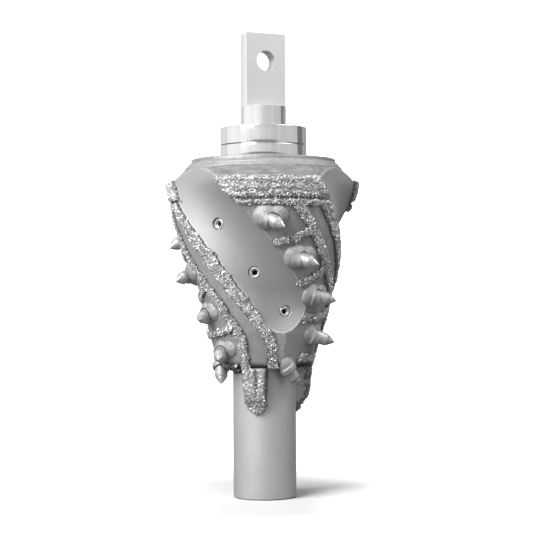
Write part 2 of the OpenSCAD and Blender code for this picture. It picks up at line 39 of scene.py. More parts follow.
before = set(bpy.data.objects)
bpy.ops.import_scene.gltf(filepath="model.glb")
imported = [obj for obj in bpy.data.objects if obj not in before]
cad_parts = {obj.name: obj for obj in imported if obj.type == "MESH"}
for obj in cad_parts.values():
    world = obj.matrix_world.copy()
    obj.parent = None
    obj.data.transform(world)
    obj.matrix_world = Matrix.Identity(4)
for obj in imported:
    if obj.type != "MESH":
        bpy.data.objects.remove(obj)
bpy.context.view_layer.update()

MM = 0.001
WINGS = "abc"
PITCH = 120.0

# The reamer's levels and radii in millimetres, as the solids have them
NOSE_Z = 169.0
NOSE_R = 58.5
CONE_H = 235.0
EQUATOR_R = 122.9
SHOULDER_H = 27.0
CROWN_R = 93.5
CROWN_T = 6.0
STEM_R = 40.7
CONE_ANGLE = 16.8
CONE_SLOPE = math.tan(math.radians(CONE_ANGLE))
EASE_H = 142.0
EASE_K = (NOSE_R + CONE_H * CONE_SLOPE - EQUATOR_R) / (CONE_H - EASE_H) ** 2
EQUATOR_SLOPE = CONE_SLOPE - 2 * EASE_K * (CONE_H - EASE_H)
EQUATOR_ROUND = 4.0
EDGE_FALL = 4.5
SHOULDER_Z = NOSE_Z + CONE_H + SHOULDER_H
CROWN_Z = SHOULDER_Z + CROWN_T
BARREL_R = 50.0

# Flutes
FLUTE_TOP_AZ = -56.0
TWIST = 0.47
STRAIGHT_H = 77.0
FLUTE_HALF = 26.5
FLUTE_DEPTH = 14.5
FLUTE_LEAN = 0.08
RUNOUT_TOP = 97.0
RUNOUT_FOOT = 45.0

# Buttons: azimuth past the flute's centre line and height over the nose, for each wing
BUTTON_SPOTS = {
    "a": ((35, 168), (38, 121), (34, 69), (46, 22), (10, 4)),
    "b": ((36, 189), (36, 140), (35, 92), (39, 42), (11, 3)),
    "c": ((36, 179), (37, 131), (37, 81), (46, 31), (10, 4)),
}
BUTTON_LEAN = {"a": (53, 42, 52, 48, 91), "b": (50, 38, 48, 44, 91), "c": (50, 38, 48, 44, 91)}
BUTTON_DIP = (25, 19, 13, 19, 53)
BUTTON_SINK = (0, 0, 0, 0, 4)
# How tall each button's weld dome stands against the tallest
DOME_SHARE = (1.0, 1.0, 0.8, 0.62, 0.56)
# Where the weld runs on under the leaning shank: millimetres round the cone and up
BED_SHIFT = (15.0, 1.5)
SHANK_R = 8.4
SHANK_OUT = 20.3
BEVEL_LEN = 3.6
TIP_R = 5.9
TIP_LEN = 8.1
POINT_R = 0.9

# Jets, placed like the buttons in each flute
JET_SPOTS = ((-6.5, 182), (-6.5, 121), (5.5, 72))
PORT_R = 7.6
PORT_DEPTH = 9.0
JET_RIM_R = 6.5
JET_HOLE_R = 3.4
DRILLING_R = 4.5

# Carbide beads: height over the nose against azimuth past the flute's centre line
EDGE_LINE = (
    (2, 112), (20, 110.5), (33, 108.5), (46, 103), (67, 92), (77, 88), (97, 85.5), (120, 86), (200, 86),
)
MID_LINE = (
    (2, 78.5), (33, 79), (43, 76), (54, 72), (65, 66.5), (84, 62.5), (100, 61), (124, 59), (147, 59),
    (166, 60.5), (201, 62.5),
)
EDGE_WIDTH = 18.5
MID_WIDTH = 13.5
# The share of its width that a bead has at each height
EDGE_SHARE = ((2, 0.75), (46, 0.72), (97, 0.9), (140, 1.0), (200, 0.85))
MID_SHARE = ((0, 1), (1, 1))
EDGE_SHIFT = {"a": 1.0, "b": -3.0, "c": -1.0}
MID_SHIFT = {"a": 4.0, "b": 0.0, "c": 2.0}
BLOCK_START = 25.4
BLOCK_ENDS = {"a": 96.0, "b": 91.0, "c": 93.0}
BLOCK_HEIGHTS = (213.0, 240.0)
BLOCK_PASS = 9.0
ROW_SPAN = (26.0, 84.0)
ROW_HEIGHTS = (203.0, 211.5)
CROSS_RUNS = ((28.5, 157, 20), (28.5, 108, 22), (25, 63, 11), (30, 13, 3))
CROSS_BOW = 3.0
CROSS_HALF = 6.2
CROSS_THINNING = 1.2
CROSS_FLOOR = 8.0
END_BUILD = 3.4
WING_DROP = {"a": -21.0, "b": 0.0, "c": -10.0}
FIN_REL = {"a": 88.5, "b": 88.5, "c": 66.0}
NOSE_LUMPS = {"a": -47.0}
FIN_FOOT = 113.0
FIN_FOOT_R = 12.5

# Swivel
COLLAR_R = 56.0
COLLAR_Z = CROWN_Z + 20.0
CAP_Z = COLLAR_Z + 21.4
JOINT_Z = COLLAR_Z - 1.6
SHAFT_R = 29.5
TANG_Z = CAP_Z + 27.3
BARREL_FOOT = CROWN_Z - 61.0
BARREL_FLOOR = 10.0
CUP_R = 45.0
CUP_SHELF_R = 38.0
CUP_SHELF_Z = CROWN_Z - 33.0
SEAL_R = 37.0
SEAL_FOOT_Z = COLLAR_Z + 5.0
SEAL_TOP_Z = COLLAR_Z + 12.1
SPIGOT_FOOT_Z = COLLAR_Z - 11.0
JOINT_GAP = 0.3
JOINT_MOUTH_R = 54.0


# Numbers and shapes

def lattice(corner, seed):
    """A repeatable random number from 0 to 1 for each whole-numbered corner."""
    n = corner[:, 0] * 374761393 + corner[:, 1] * 668265263 + corner[:, 2] * 1440662683 + seed * 362437
    n = n & 0xFFFFFFFF
    n = ((n ^ (n >> 13)) * 1274126177) & 0xFFFFFFFF
    return (n ^ (n >> 16)) / 4294967295.0


def lumps(points, size, seed=0):
    """Smooth noise from -1 to 1 at points in millimetres, with lumps about size across."""
    flat = np.asarray(points, float).reshape(-1, 3) / size
    base = np.floor(flat).astype(np.int64)
    part = flat - base
    part = part * part * (3 - 2 * part)
    total = np.zeros(len(flat))
    for corner in itertools.product((0, 1), repeat=3):
        weight = np.ones(len(flat))
        for axis, side in enumerate(corner):
            weight *= part[:, axis] if side else 1 - part[:, axis]
        total += weight * lattice(base + np.array(corner), seed)
    return (2 * total - 1).reshape(np.shape(points)[:-1])


def soft_above(x, floor, width):
    """x, but eased into floor where it would go below it."""
    return floor + width * np.logaddexp(0, (x - floor) / width)


def ramp(x, low, high):
    return np.clip((x - low) / (high - low), 0, 1)


def smooth_ramp(x, low, high):
    t = ramp(x, low, high)
    return t * t * (3 - 2 * t)


def table(rows, x):
    return np.interp(x, [r[0] for r in rows], [r[1] for r in rows])


def polar(az, r, z):
    """Azimuth 0 faces -Y and grows towards +X."""
    a = np.radians(az)
    return np.stack(np.broadcast_arrays(r * np.sin(a), -r * np.cos(a), z), axis=-1)


def wing_radius(h):
    over = np.maximum(0, h - EASE_H)
    below = NOSE_R + h * CONE_SLOPE - EASE_K * over * over
    r = np.where(h <= CONE_H, below, EQUATOR_R - FLUTE_LEAN * (h - CONE_H))
    # The ring is rounded over instead of breaking sharply from one slope to the other
    crest = EQUATOR_ROUND * np.log1p(np.exp(-np.abs(h - CONE_H) / EQUATOR_ROUND))
    return r - (EQUATOR_SLOPE + FLUTE_LEAN) * crest


def shoulder_radius(h):
    return EQUATOR_R - (h - CONE_H) * (EQUATOR_R - CROWN_R) / SHOULDER_H


def flute_azimuth(h):
    eased = CONE_H - soft_above(CONE_H - h, 0, 3.0)
    eased = soft_above(eased, STRAIGHT_H, 5.0)
    return FLUTE_TOP_AZ + TWIST * (CONE_H - eased)


def runout(h):
    return np.clip((RUNOUT_TOP - h) / (RUNOUT_TOP - RUNOUT_FOOT), 0, 1)


def face_radius(rel, h, rounding=0.02):
    """Radius of the cone's face, rel degrees past a flute's centre line and h over the nose."""
    q = rel - PITCH * np.round(rel / PITCH)
    t = runout(h)
    u = q / FLUTE_HALF
    w = (PITCH / 2 - np.abs(q)) / (PITCH / 2 - FLUTE_HALF)
    fall = EDGE_FALL * (1 - t) * np.minimum(1, w * w)
    s = 1 - u * u - t * t
    scoop = FLUTE_DEPTH * 0.5 * (s + np.sqrt(s * s + rounding * rounding))
    r = wing_radius(h) - fall - scoop
    return np.where(h > CONE_H, np.minimum(r, shoulder_radius(h)), r)


def wing_turn(w):
    return PITCH * (WINGS.index(w) - 1)


def face_azimuth(w, rel, h):
    return flute_azimuth(h) + wing_turn(w) + rel


def face_point(w, rel, h, lift=0.0):
    return polar(face_azimuth(w, rel, h), face_radius(rel, h) + lift, NOSE_Z + h)


def new_mesh(name, points, faces):
    mesh = bpy.data.meshes.new(name)
    mesh.from_pydata((np.asarray(points) * MM).tolist(), [], [list(map(int, f)) for f in faces])
    mesh.validate()
    return mesh


def place(name, mesh, finish, body="reamer", replaces=(), crease=None):
    """Puts a finished mesh in the scene as a piece of the object."""
    piece = bpy.data.objects.new(name, mesh)
    bpy.context.scene.collection.objects.link(piece)
    mesh.materials.clear()
    mesh.materials.append(finish)
    if crease is None:
        mesh.shade_flat()
    else:
        mesh.shade_smooth()
        mesh.set_sharp_from_angle(angle=math.radians(crease))
    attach(piece, body)
    if replaces:
        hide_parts(*replaces)
    return piece


def grid_faces(rows, columns, close_rows=False):
    """Quads of a tube whose points are stored ring by ring, seen from outside with the rings going up."""
    i, j = np.meshgrid(np.arange(rows if close_rows else rows - 1), np.arange(columns), indexing="ij")
    up, right = (i + 1) % rows, (j + 1) % columns
    quads = np.stack([i * columns + j, i * columns + right, up * columns + right, up * columns + j], axis=-1)
    return quads.reshape(-1, 4)


def lathe(profile, segments=96, wobble=None):
    """Points and faces of a turned form.

    The profile holds [radius, height] and runs from the axis back to it, or round a closed loop.
    """
    profile = np.asarray(profile, float)
    turn = np.linspace(0, 2 * np.pi, segments, endpoint=False)
    r = np.broadcast_to(profile[:, 0][:, None], (len(profile), segments)).copy()
    z = np.broadcast_to(profile[:, 1][:, None], r.shape).copy()
    if wobble:
        r, z = wobble(r, z, turn[None, :])
    points = np.stack([r * np.cos(turn), r * np.sin(turn), z], axis=-1).reshape(-1, 3)
    closed = bool(profile[0, 0] > 1e-6)
    faces = [list(f) for f in grid_faces(len(profile), segments, close_rows=closed)]
    if not closed:
        # The first and last rows sit on the axis and become one point each
        last = (len(profile) - 1) * segments
        points = np.vstack([points[:1], points[segments:last], points[last:last + 1]])
        hub = len(points) - 1
        joined = []
        for f in faces:
            g = [0 if v < segments else hub if v >= last else v - segments + 1 for v in f]
            g = [v for k, v in enumerate(g) if v != g[k - 1]]
            if len(g) > 2:
                joined.append(g)
        faces = joined
    return points, faces


def join(parts):
    """One set of points and faces from several."""
    points, faces, start = [], [], 0
    for p, f in parts:
        points.append(np.asarray(p))
        faces += [[int(v) + start for v in face] for face in f]
        start += len(p)
    return np.vstack(points), faces


def arc(cx, cz, r, start, end, steps=6):
    """Points on a rounded corner, from angle start to end in degrees."""
    a = np.radians(np.linspace(start, end, steps))
    return [[cx + r * math.cos(t), cz + r * math.sin(t)] for t in a]


def moved(points, matrix):
    m = np.array(matrix)
    return np.asarray(points) @ m[:3, :3].T + m[:3, 3]


def axis_matrix(point, azimuth, dip):
    """Local Z points out along azimuth and down by dip; local -X points up."""
    down = Matrix.Rotation(math.radians(90 + dip), 4, "Y")
    turn = Matrix.Rotation(math.radians(azimuth - 90), 4, "Z") @ down
    return Matrix.Translation(Vector([float(v) for v in point])) @ turn


def button_matrix(w, k):
    rel, h = BUTTON_SPOTS[w][k]
    azimuth = float(face_azimuth(w, rel, h))
    return axis_matrix(face_point(w, rel, h, -BUTTON_SINK[k]), azimuth + BUTTON_LEAN[w][k], BUTTON_DIP[k])


def dome_matrix(w, k, offset=(0, 0)):
    rel, h = BUTTON_SPOTS[w][k]
    azimuth = float(face_azimuth(w, rel, h)) + math.degrees(offset[0] / float(face_radius(rel, h)))
    up = h + offset[1]
    rel = azimuth - float(flute_azimuth(up)) - wing_turn(w)
    return axis_matrix(polar(azimuth, float(face_radius(rel, up)), NOSE_Z + up), azimuth, CONE_ANGLE)


def jet_matrix(w, spot):
    rel, h = spot
    azimuth = float(face_azimuth(w, rel, h))
    return axis_matrix(polar(azimuth, 0.0, NOSE_Z + h), azimuth, 0)


def modified(mesh, *modifiers):
    """The mesh after modifiers, given as (type, settings)."""
    carrier = bpy.data.objects.new("carrier", mesh)
    bpy.context.scene.collection.objects.link(carrier)
    for kind, settings in modifiers:
        modifier = carrier.modifiers.new(kind.lower(), kind)
        for key, value in settings.items():
            setattr(modifier, key, value)
    graph = bpy.context.evaluated_depsgraph_get()
    result = bpy.data.meshes.new_from_object(carrier.evaluated_get(graph))
    bpy.data.objects.remove(carrier)
    return result


def cut_out(mesh, tool):
    """The mesh with the tool's form taken out of it."""
    cutter = bpy.data.objects.new("cutter", tool)
    bpy.context.scene.collection.objects.link(cutter)
    mesh = modified(mesh, ("BOOLEAN", {"object": cutter, "operation": "DIFFERENCE", "solver": "EXACT"}))
    bpy.data.objects.remove(cutter)
    return mesh


def store(mesh, name, values):
    """Keeps a number for each corner of the mesh, for the finish to read."""
    attribute = mesh.attributes.new(name, "FLOAT", "POINT")
    attribute.data.foreach_set("value", values.astype(np.float32))


def mesh_points(mesh):
    co = np.zeros(len(mesh.vertices) * 3)
    mesh.vertices.foreach_get("co", co)
    return co.reshape(-1, 3) / MM


def set_mesh_points(mesh, points):
    mesh.vertices.foreach_set("co", (np.asarray(points) * MM).ravel())
    mesh.update()


def mesh_normals(mesh):
    normals = np.zeros(len(mesh.vertices) * 3)
    mesh.vertex_normals.foreach_get("vector", normals)
    return normals.reshape(-1, 3)


# Materials

NEUTRAL = (1.0, 1.0, 1.0)
WARM = (1.0, 1.0, 0.99)
WHITE = (1.0, 1.0, 1.0, 1.0)


class Value:
    """A shader number that ordinary arithmetic works on."""

    def __init__(self, finish, link):
        self.finish = finish
        self.link = link

    def math(self, operation, *others):
        return self.finish.node("ShaderNodeMath", {"operation": operation}, dict(enumerate((self,) + others)))

    def __add__(self, other):
        return self.math("ADD", other)

    __radd__ = __add__

    def __mul__(self, other):
        return self.math("MULTIPLY", other)

    __rmul__ = __mul__

    def __sub__(self, other):
        return self.math("SUBTRACT", other)

    def __rsub__(self, other):
        return self.finish.node("ShaderNodeMath", {"operation": "SUBTRACT"}, {0: other, 1: self})

    def swing(self, amount):
        """Noise from 0 to 1, centred on 0 and scaled."""
        return (self - 0.5) * amount

    def spread(self, low, high, to_low=0.0, to_high=1.0):
        """This value remapped from low..high to to_low..to_high, held at the ends."""
        ends = {"From Min": low, "From Max": high, "To Min": to_low, "To Max": to_high}
        return self.finish.node("ShaderNodeMapRange", {"clamp": True}, {"Value": self, **ends})


class Finish:
    """A node material under construction."""

    def __init__(self, name, owner=None):
        self.block = owner or bpy.data.materials.new(name)
        self.block.use_nodes = True
        self.tree = self.block.node_tree
        self.tree.nodes.clear()

    def node(self, kind, settings, inputs, output=0):
        made = self.tree.nodes.new(kind)
        for key, value in settings.items():
            setattr(made, key, value)
        for key, value in inputs.items():
            socket = made.inputs[key]
            if isinstance(value, Value):
                self.tree.links.new(value.link, socket)
            else:
                socket.default_value = value
        return Value(self, made.outputs[output]) if made.outputs else made

    def place_mm(self, stretch=(1, 1, 1)):
        """Object coordinates in millimetres, scaled by stretch."""
        at = self.node("ShaderNodeTexCoord", {}, {}, "Object")
        return self.node("ShaderNodeVectorMath", {"operation": "MULTIPLY"},
                         {0: at, 1: tuple(v / MM for v in stretch)})

    def noise(self, where, size, detail=3.0, rough=0.55):
        return self.node("ShaderNodeTexNoise", {"noise_dimensions": "3D"},
                         {"Vector": where, "Scale": 1 / size, "Detail": detail, "Roughness": rough})

    def cells(self, where, size):
        """One random colour for each cell, which is about size across."""
        return self.node("ShaderNodeTexVoronoi", {"feature": "F1"},
                         {"Vector": where, "Scale": 1 / size}, "Color")

    def grey(self, value, tint=NEUTRAL):
        """A grey colour of this value, slightly tinted."""
        return self.node("ShaderNodeVectorMath", {"operation": "SCALE"}, {0: tint, "Scale": value})

    def bump(self, height, distance, strength=1.0):
        """A bump of this height, with distance in millimetres."""
        inputs = {"Height": height, "Distance": distance * MM, "Strength": strength}
        return self.node("ShaderNodeBump", {}, inputs)

    def surface(self, **inputs):
        sockets = {key.replace("_", " "): value for key, value in inputs.items()}
        shader = self.node("ShaderNodeBsdfPrincipled", {}, sockets)
        self.output(shader)
        return self.block

    def output(self, shader):
        self.node("ShaderNodeOutputMaterial", {}, {"Surface": shader})


def blasted_steel(name, tone, grain=1.0, rough=0.5, mottle=0.1):
    """Sand-blasted steel: an even grey with a fine salt-and-pepper grain."""
    f = Finish(name)
    at = f.place_mm()
    fine = f.noise(at, 0.9 * grain, 4.0, 0.7)
    coarse = f.noise(at, 2.6 * grain, 3.0, 0.6)
    cloud = f.noise(at, 34.0, 2.0, 0.5)
    shade = fine.swing(mottle * 2.2) + coarse.swing(mottle * 1.5)
    shade = shade + cloud.swing(mottle * 0.8) + 1.0
    return f.surface(
        Base_Color=f.grey(shade * tone, WARM),
        Metallic=0.6,
        Roughness=coarse.swing(0.25) + rough,
        Normal=f.bump(fine * 0.6 + coarse * 0.6, 0.35, 0.6),
    )


def cone_finish(name, tone):
    """The cone's steel: satin ground flutes with a painted highlight along their edges, blasted wings, a
    scaly cast shoulder and painted shade under the nose.
    """
    f = Finish(name)
    at = f.place_mm()
    flute, cast, edge, painted_nose_shade = (f.node("ShaderNodeAttribute", {"attribute_name": part}, {}, "Fac")
                               for part in ("flute", "cast", "edge", "painted_nose_shade"))
    fine = f.noise(at, 1.2, 4.0, 0.75)
    coarse = f.noise(at, 3.4, 3.0, 0.6)
    blotch = f.noise(at, 11.0, 4.0, 0.65)
    cloud = f.noise(at, 42.0, 3.0, 0.5)
    scale = f.noise(f.place_mm((0.3, 0.3, 1.2)), 4.5, 4.0, 0.7)
    lay = f.noise(f.place_mm((1.1, 1.1, 0.06)), 1.6, 3.0, 0.6)
    blasted = fine.swing(0.7) + coarse.swing(0.6) + blotch.swing(0.6) + cloud.swing(0.3) + 1.08
    satin = lay.swing(0.13) + blotch.swing(0.08) + cloud.swing(0.1) + 1.06
    scaly = scale.swing(1.1) + blotch.swing(0.8) + fine.swing(0.5) + 0.78
    side = blasted * (1 - cast) + scaly * cast
    # The flute's edge gets a painted highlight.
    shade = side * (1 - flute) + satin * flute + edge * coarse.spread(0.35, 0.6, 0.15, 0.7)
    height = (fine * 0.8 + coarse * 0.9 + scale * cast * 1.6) * (1 - flute) + lay * flute * 0.12
    return f.surface(
        # The nose's lower edge is darkened with painted shade.
        Base_Color=f.grey(shade * painted_nose_shade.spread(0.0, 1.0, 1.0, 0.16) * tone, WARM),
        Metallic=0.6,
        Roughness=0.54 + flute * 0.12 + coarse.swing(0.16),
        Normal=f.bump(height, 0.4, 0.7),
    )


def grit_finish(name, dark, light):
    """Crushed carbide in weld metal: glittering grains, each with its own tone, and painted shade darkening
    the gaps between them.
    """
    f = Finish(name)
    at = f.place_mm()
    crest = f.node("ShaderNodeAttribute", {"attribute_name": "crest"}, {}, "Fac")
    cell = f.cells(at, 1.9)
    tone = f.node("ShaderNodeSeparateColor", {}, {0: cell}, 0)
    spark = f.node("ShaderNodeSeparateColor", {}, {0: cell}, 1)
    fine = f.noise(at, 0.6, 3.0, 0.7)
    grain = tone * (light - dark) + dark + fine.swing(0.2)
    # The lower a corner lies, the more painted shade it gets.
    shade = grain * crest.spread(0.0, 1.0, 0.26, 1.0)
    return f.surface(
        Base_Color=f.grey(shade.spread(0.02, 1.0, 0.02, 1.0), (0.99, 1.0, 1.01)),
        Metallic=0.55,
        Roughness=spark * 0.35 + 0.25,
        Normal=f.bump(fine, 0.25, 0.6),
    )


def weld_finish(name, tone, mottle=0.16):
    """Dressed weld metal: soft, slightly wavy and lightly blasted."""
    f = Finish(name)
    at = f.place_mm()
    wave = f.noise(at, 5.0, 3.0, 0.5)
    fine = f.noise(at, 1.0, 4.0, 0.65)
    shade = wave.swing(mottle) + fine.swing(mottle * 0.9) + 1.0
    return f.surface(
        Base_Color=f.grey(shade * tone, WARM),
        Metallic=0.45,
        Roughness=wave.swing(0.2) + 0.62,
        Normal=f.bump(wave * 1.2 + fine * 0.4, 0.4, 0.5),
    )


def turned_finish(name, tone, rough=0.085, pitch=0.5):
    """Steel turned on a lathe: fine rings that pull reflections into upright streaks, and upright streaks
    painted into the colour as a reflection.
    """
    f = Finish(name)
    rings = f.noise(f.place_mm((0.004, 0.004, 1.0)), pitch, 2.0, 0.6)
    bands = f.noise(f.place_mm((0.02, 0.02, 0.2)), 1.2, 2.0, 0.5)
    painted_reflection_streaks = f.noise(f.place_mm((1.0, 1.0, 0.02)), 7.0, 2.0, 0.55)
    # The upright streaks in the colour are a painted reflection.
    shade = rings.swing(0.08) + bands.swing(0.05) + painted_reflection_streaks.swing(0.36) + 1.0
    return f.surface(
        Base_Color=f.grey(shade * tone),
        Metallic=0.9,
        Roughness=rings.swing(0.04) + painted_reflection_streaks.swing(0.04) + rough,
        Normal=f.bump(rings, 0.03, 0.12),
    )


def shaft_finish(name, tone, turned_tone):
    """The swivel shaft: a satin milled tang with faint cutter lines over a turned neck with painted
    reflection streaks.
    """
    f = Finish(name)
    at = f.place_mm()
    height = f.node("ShaderNodeSeparateXYZ", {}, {0: at}, 2)
    neck = height.spread(TANG_Z - 0.2, TANG_Z + 0.2, 1.0, 0.0)
    lines = f.noise(f.place_mm((1.0, 1.0, 0.05)), 0.8, 2.0, 0.5)
    painted_reflection_streaks = f.noise(f.place_mm((1.0, 1.0, 0.02)), 7.0, 2.0, 0.55)
    cloud = f.noise(at, 18.0, 3.0, 0.5)
    milled = (lines.swing(0.06) + cloud.swing(0.07) + 1.0) * tone
    # The neck's upright streaks are a painted reflection.
    turned = (painted_reflection_streaks.swing(0.36) + 1.0) * turned_tone
    return f.surface(
        Base_Color=f.grey(milled * (1 - neck) + turned * neck),
        Metallic=neck * 0.3 + 0.6,
        Roughness=cloud.swing(0.08) + neck * -0.28 + 0.38,
        Normal=f.bump(lines, 0.03, 0.15),
    )


def carbide_finish(name, tone):
    """Sintered carbide: smooth, dense and faintly blue."""
    f = Finish(name)
    at = f.place_mm()
    fine = f.noise(at, 0.7, 3.0, 0.6)
    cloud = f.noise(at, 4.0, 2.0, 0.5)
    shade = fine.swing(0.1) + cloud.swing(0.16) + 1.0
    return f.surface(
        Base_Color=f.grey(shade * tone, (0.97, 0.99, 1.04)),
        Metallic=0.55,
        Roughness=cloud.swing(0.14) + 0.34,
        Normal=f.bump(fine, 0.08, 0.4),
    )


def rubber_finish(name):
    f = Finish(name)
    fine = f.noise(f.place_mm(), 0.8, 3.0, 0.6)
    return f.surface(
        Base_Color=f.grey(fine * 0.02 + 0.02),
        Metallic=0.0,
        Roughness=fine.swing(0.2) + 0.6,
        Normal=f.bump(fine, 0.05, 0.5),
    )


class ReamerSizes(bpy.types.PropertyGroup):
    """Sizes of the details that the looks add to the solids, in millimetres."""

    grain: FloatProperty(
        name="Grain radius", description="Mean radius of a carbide grain",
        default=1.2, min=0.6, max=3.0)
    grain_count: IntProperty(
        name="Grains per wing", description="Carbide grains on one wing",
        default=6600, min=0, max=9000)
    bead_height: FloatProperty(
        name="Bead height", description="Height of a carbide bead's crest",
        default=3.6, min=1.0, max=6.0)
    bead_wander: FloatProperty(
        name="Bead wander", description="How far a bead's edges wander",
        default=1.5, min=0.0, max=4.0)
    dome_height: FloatProperty(
        name="Dome height", description="Height of the weld dome round a button",
        default=9.5, min=4.0, max=11.0)
    dome_ball: FloatProperty(
        name="Dome ball", description="Radius of the ball a dome is cut from",
        default=20.0, min=14.0, max=24.0)
    weld_wave: FloatProperty(
        name="Weld wave", description="How far the crown's weld wanders",
        default=1.0, min=0.0, max=2.5)


class ReamerTones(bpy.types.PropertyGroup):
    """Grey tones of the finishes, from 0 to 1."""

    cone: FloatProperty(
        name="Cone", description="Tone of the cone's steel",
        default=0.42, min=0, max=1, subtype="FACTOR")
    stem: FloatProperty(
        name="Stem", description="Tone of the stem",
        default=0.64, min=0, max=1, subtype="FACTOR")
    weld: FloatProperty(
        name="Weld", description="Tone of the weld metal",
        default=0.41, min=0, max=1, subtype="FACTOR")
    button: FloatProperty(
        name="Button", description="Tone of the button shanks",
        default=0.5, min=0, max=1, subtype="FACTOR")
    carbide: FloatProperty(
        name="Carbide", description="Tone of the carbide tips",
        default=0.56, min=0, max=1, subtype="FACTOR")
    collar: FloatProperty(
        name="Collar", description="Tone of the turned collar, cap and neck",
        default=0.94, min=0, max=1, subtype="FACTOR")
    shaft: FloatProperty(
        name="Tang", description="Tone of the milled tang",
        default=0.78, min=0, max=1, subtype="FACTOR")
    grit_dark: FloatProperty(
        name="Grit, dark grains", description="Tone of the darkest grains",
        default=0.42, min=0, max=1, subtype="FACTOR")
    grit_light: FloatProperty(
        name="Grit, light grains", description="Tone of the lightest grains",
        default=0.98, min=0, max=1, subtype="FACTOR")


class StudioSettings(bpy.types.PropertyGroup):
    """The lamps, the room and the paper round the object."""

    key: FloatProperty(
        name="Key lamp", description="Power of the big soft lamp at the front left",
        default=114.0, unit="POWER")
    paper_lamp: FloatProperty(
        name="Paper lamp", description="Power of the lamp that lights only the paper",
        default=52.0, unit="POWER")
    side: FloatProperty(
        name="Side lamp", description="Power of the lamp at the right, which leaves the paper out",
        default=26.0, unit="POWER")
    room: FloatProperty(
        name="Room light", description="Brightness of the room", default=0.78, min=0, max=2)
    glow: FloatProperty(
        name="Paper glow", description="Light of its own that the paper shows beside the stem",
        default=0.0, min=0, max=1)
    wall: FloatProperty(
        name="Wall light", description="Brightness of the wall behind, as the object sees it",
        default=0.66, min=0, max=2)
    paper: FloatVectorProperty(
        name="Paper", description="Colour of the paper for the camera",
        subtype="COLOR", default=(0.7, 0.7, 0.7))
    floor: FloatVectorProperty(
        name="Floor", description="Colour of the floor for the object",
        subtype="COLOR", default=(0.16, 0.16, 0.16))


def sizes():
    return bpy.context.scene.reamer_sizes


def tones():
    return bpy.context.scene.reamer_tones


def finish(name):
    """The material of that name, made once."""
    if name in bpy.data.materials:
        return bpy.data.materials[name]
    t = tones()
    makers = {
        "cone steel": lambda n: cone_finish(n, t.cone),
        "blasted stem steel": lambda n: blasted_steel(n, t.stem, rough=0.43, mottle=0.2),
        "blasted fin steel": lambda n: blasted_steel(n, t.cone),
        "blasted button steel": lambda n: blasted_steel(n, t.button, 0.8, 0.52, 0.07),
        "crown plate steel": lambda n: blasted_steel(n, t.weld * 0.93, 1.4, 0.52, 0.5),
        "weld metal": lambda n: weld_finish(n, t.weld),
        "crown weld metal": lambda n: weld_finish(n, t.weld * 0.94, mottle=0.8),
        "carbide grit": lambda n: grit_finish(n, t.grit_dark, t.grit_light),
        "sintered carbide": lambda n: carbide_finish(n, t.carbide),
        "turned steel": lambda n: turned_finish(n, t.collar),
        "bearing steel": lambda n: turned_finish(n, 0.8, rough=0.16, pitch=0.3),
        "jet rim steel": lambda n: turned_finish(n, 0.85, rough=0.3, pitch=0.3),
        "shaft steel": lambda n: shaft_finish(n, t.shaft, t.collar),
        "seal rubber": rubber_finish,
    }
    return makers[name](name)


def dress(node, name):
    """Gives a node of the frame one finish."""
    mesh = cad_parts[node].data
    mesh.materials.clear()
    mesh.materials.append(finish(name))


# The fluted cone

FLUTE_COLUMNS = 64
WING_COLUMNS = 64
FOOT_SHARE = 0.12
NOSE_ROUND = 4.0
NOSE_ROWS = (0.0, 0.4, 1.0, 1.8, 2.8, 4.0)
CLEARANCE = 0.15
# The bare pad on the shoulder: azimuth, height and half sizes, in degrees and millimetres
PAD_AZ = -3.5
PAD_Z = 420.5
PAD_HALF = (12.5, 5.6)
PAD_H = 0.7


def flute_half_at(h):
    return FLUTE_HALF * np.maximum(FOOT_SHARE, np.sqrt(np.clip(1 - runout(h) ** 2, 0, 1)))


def crowded(count):
    """Numbers from -1 to 1, closer together near both ends."""
    even = np.linspace(-1, 1, count + 1)[:-1]
    return 0.45 * even + 0.55 * -np.cos(np.pi * (even + 1) / 2)


def cone_grid(heights):
    """Azimuth past the flute's centre line for every column of every row, over all wings."""
    h = np.asarray(heights)[:, None]
    half = flute_half_at(h)
    flute = crowded(FLUTE_COLUMNS)[None, :] * half
    across = (crowded(WING_COLUMNS)[None, :] + 1) / 2
    wing = half + across * (PITCH - 2 * half)
    one = np.concatenate([flute, wing], axis=1)
    return np.concatenate([one + PITCH * i for i in range(len(WINGS))], axis=1)


def cast_pad(azimuth, z):
    """A low bare pad on the shoulder over wing b."""
    across = smooth_ramp(np.abs(azimuth - PAD_AZ), PAD_HALF[0] + 2.0, PAD_HALF[0])
    up = smooth_ramp(np.abs(z - PAD_Z), PAD_HALF[1] + 1.6, PAD_HALF[1])
    return PAD_H * across * up


def jet_port(w, spot):
    """The form of one jet's port and the drilling behind it, with a small chamfer at the mouth."""
    face = float(face_radius(spot[0], spot[1]))
    pin = [[0, STEM_R + 1.5], [DRILLING_R, STEM_R + 1.5], [DRILLING_R, face - PORT_DEPTH],
           [PORT_R, face - PORT_DEPTH], [PORT_R, face - 0.2], [PORT_R + 0.5, face + 0.4],
           [PORT_R + 0.5, face + 12], [0, face + 12]]
    points, faces = lathe(pin, 40)
    return moved(points, jet_matrix(w, spot)), faces


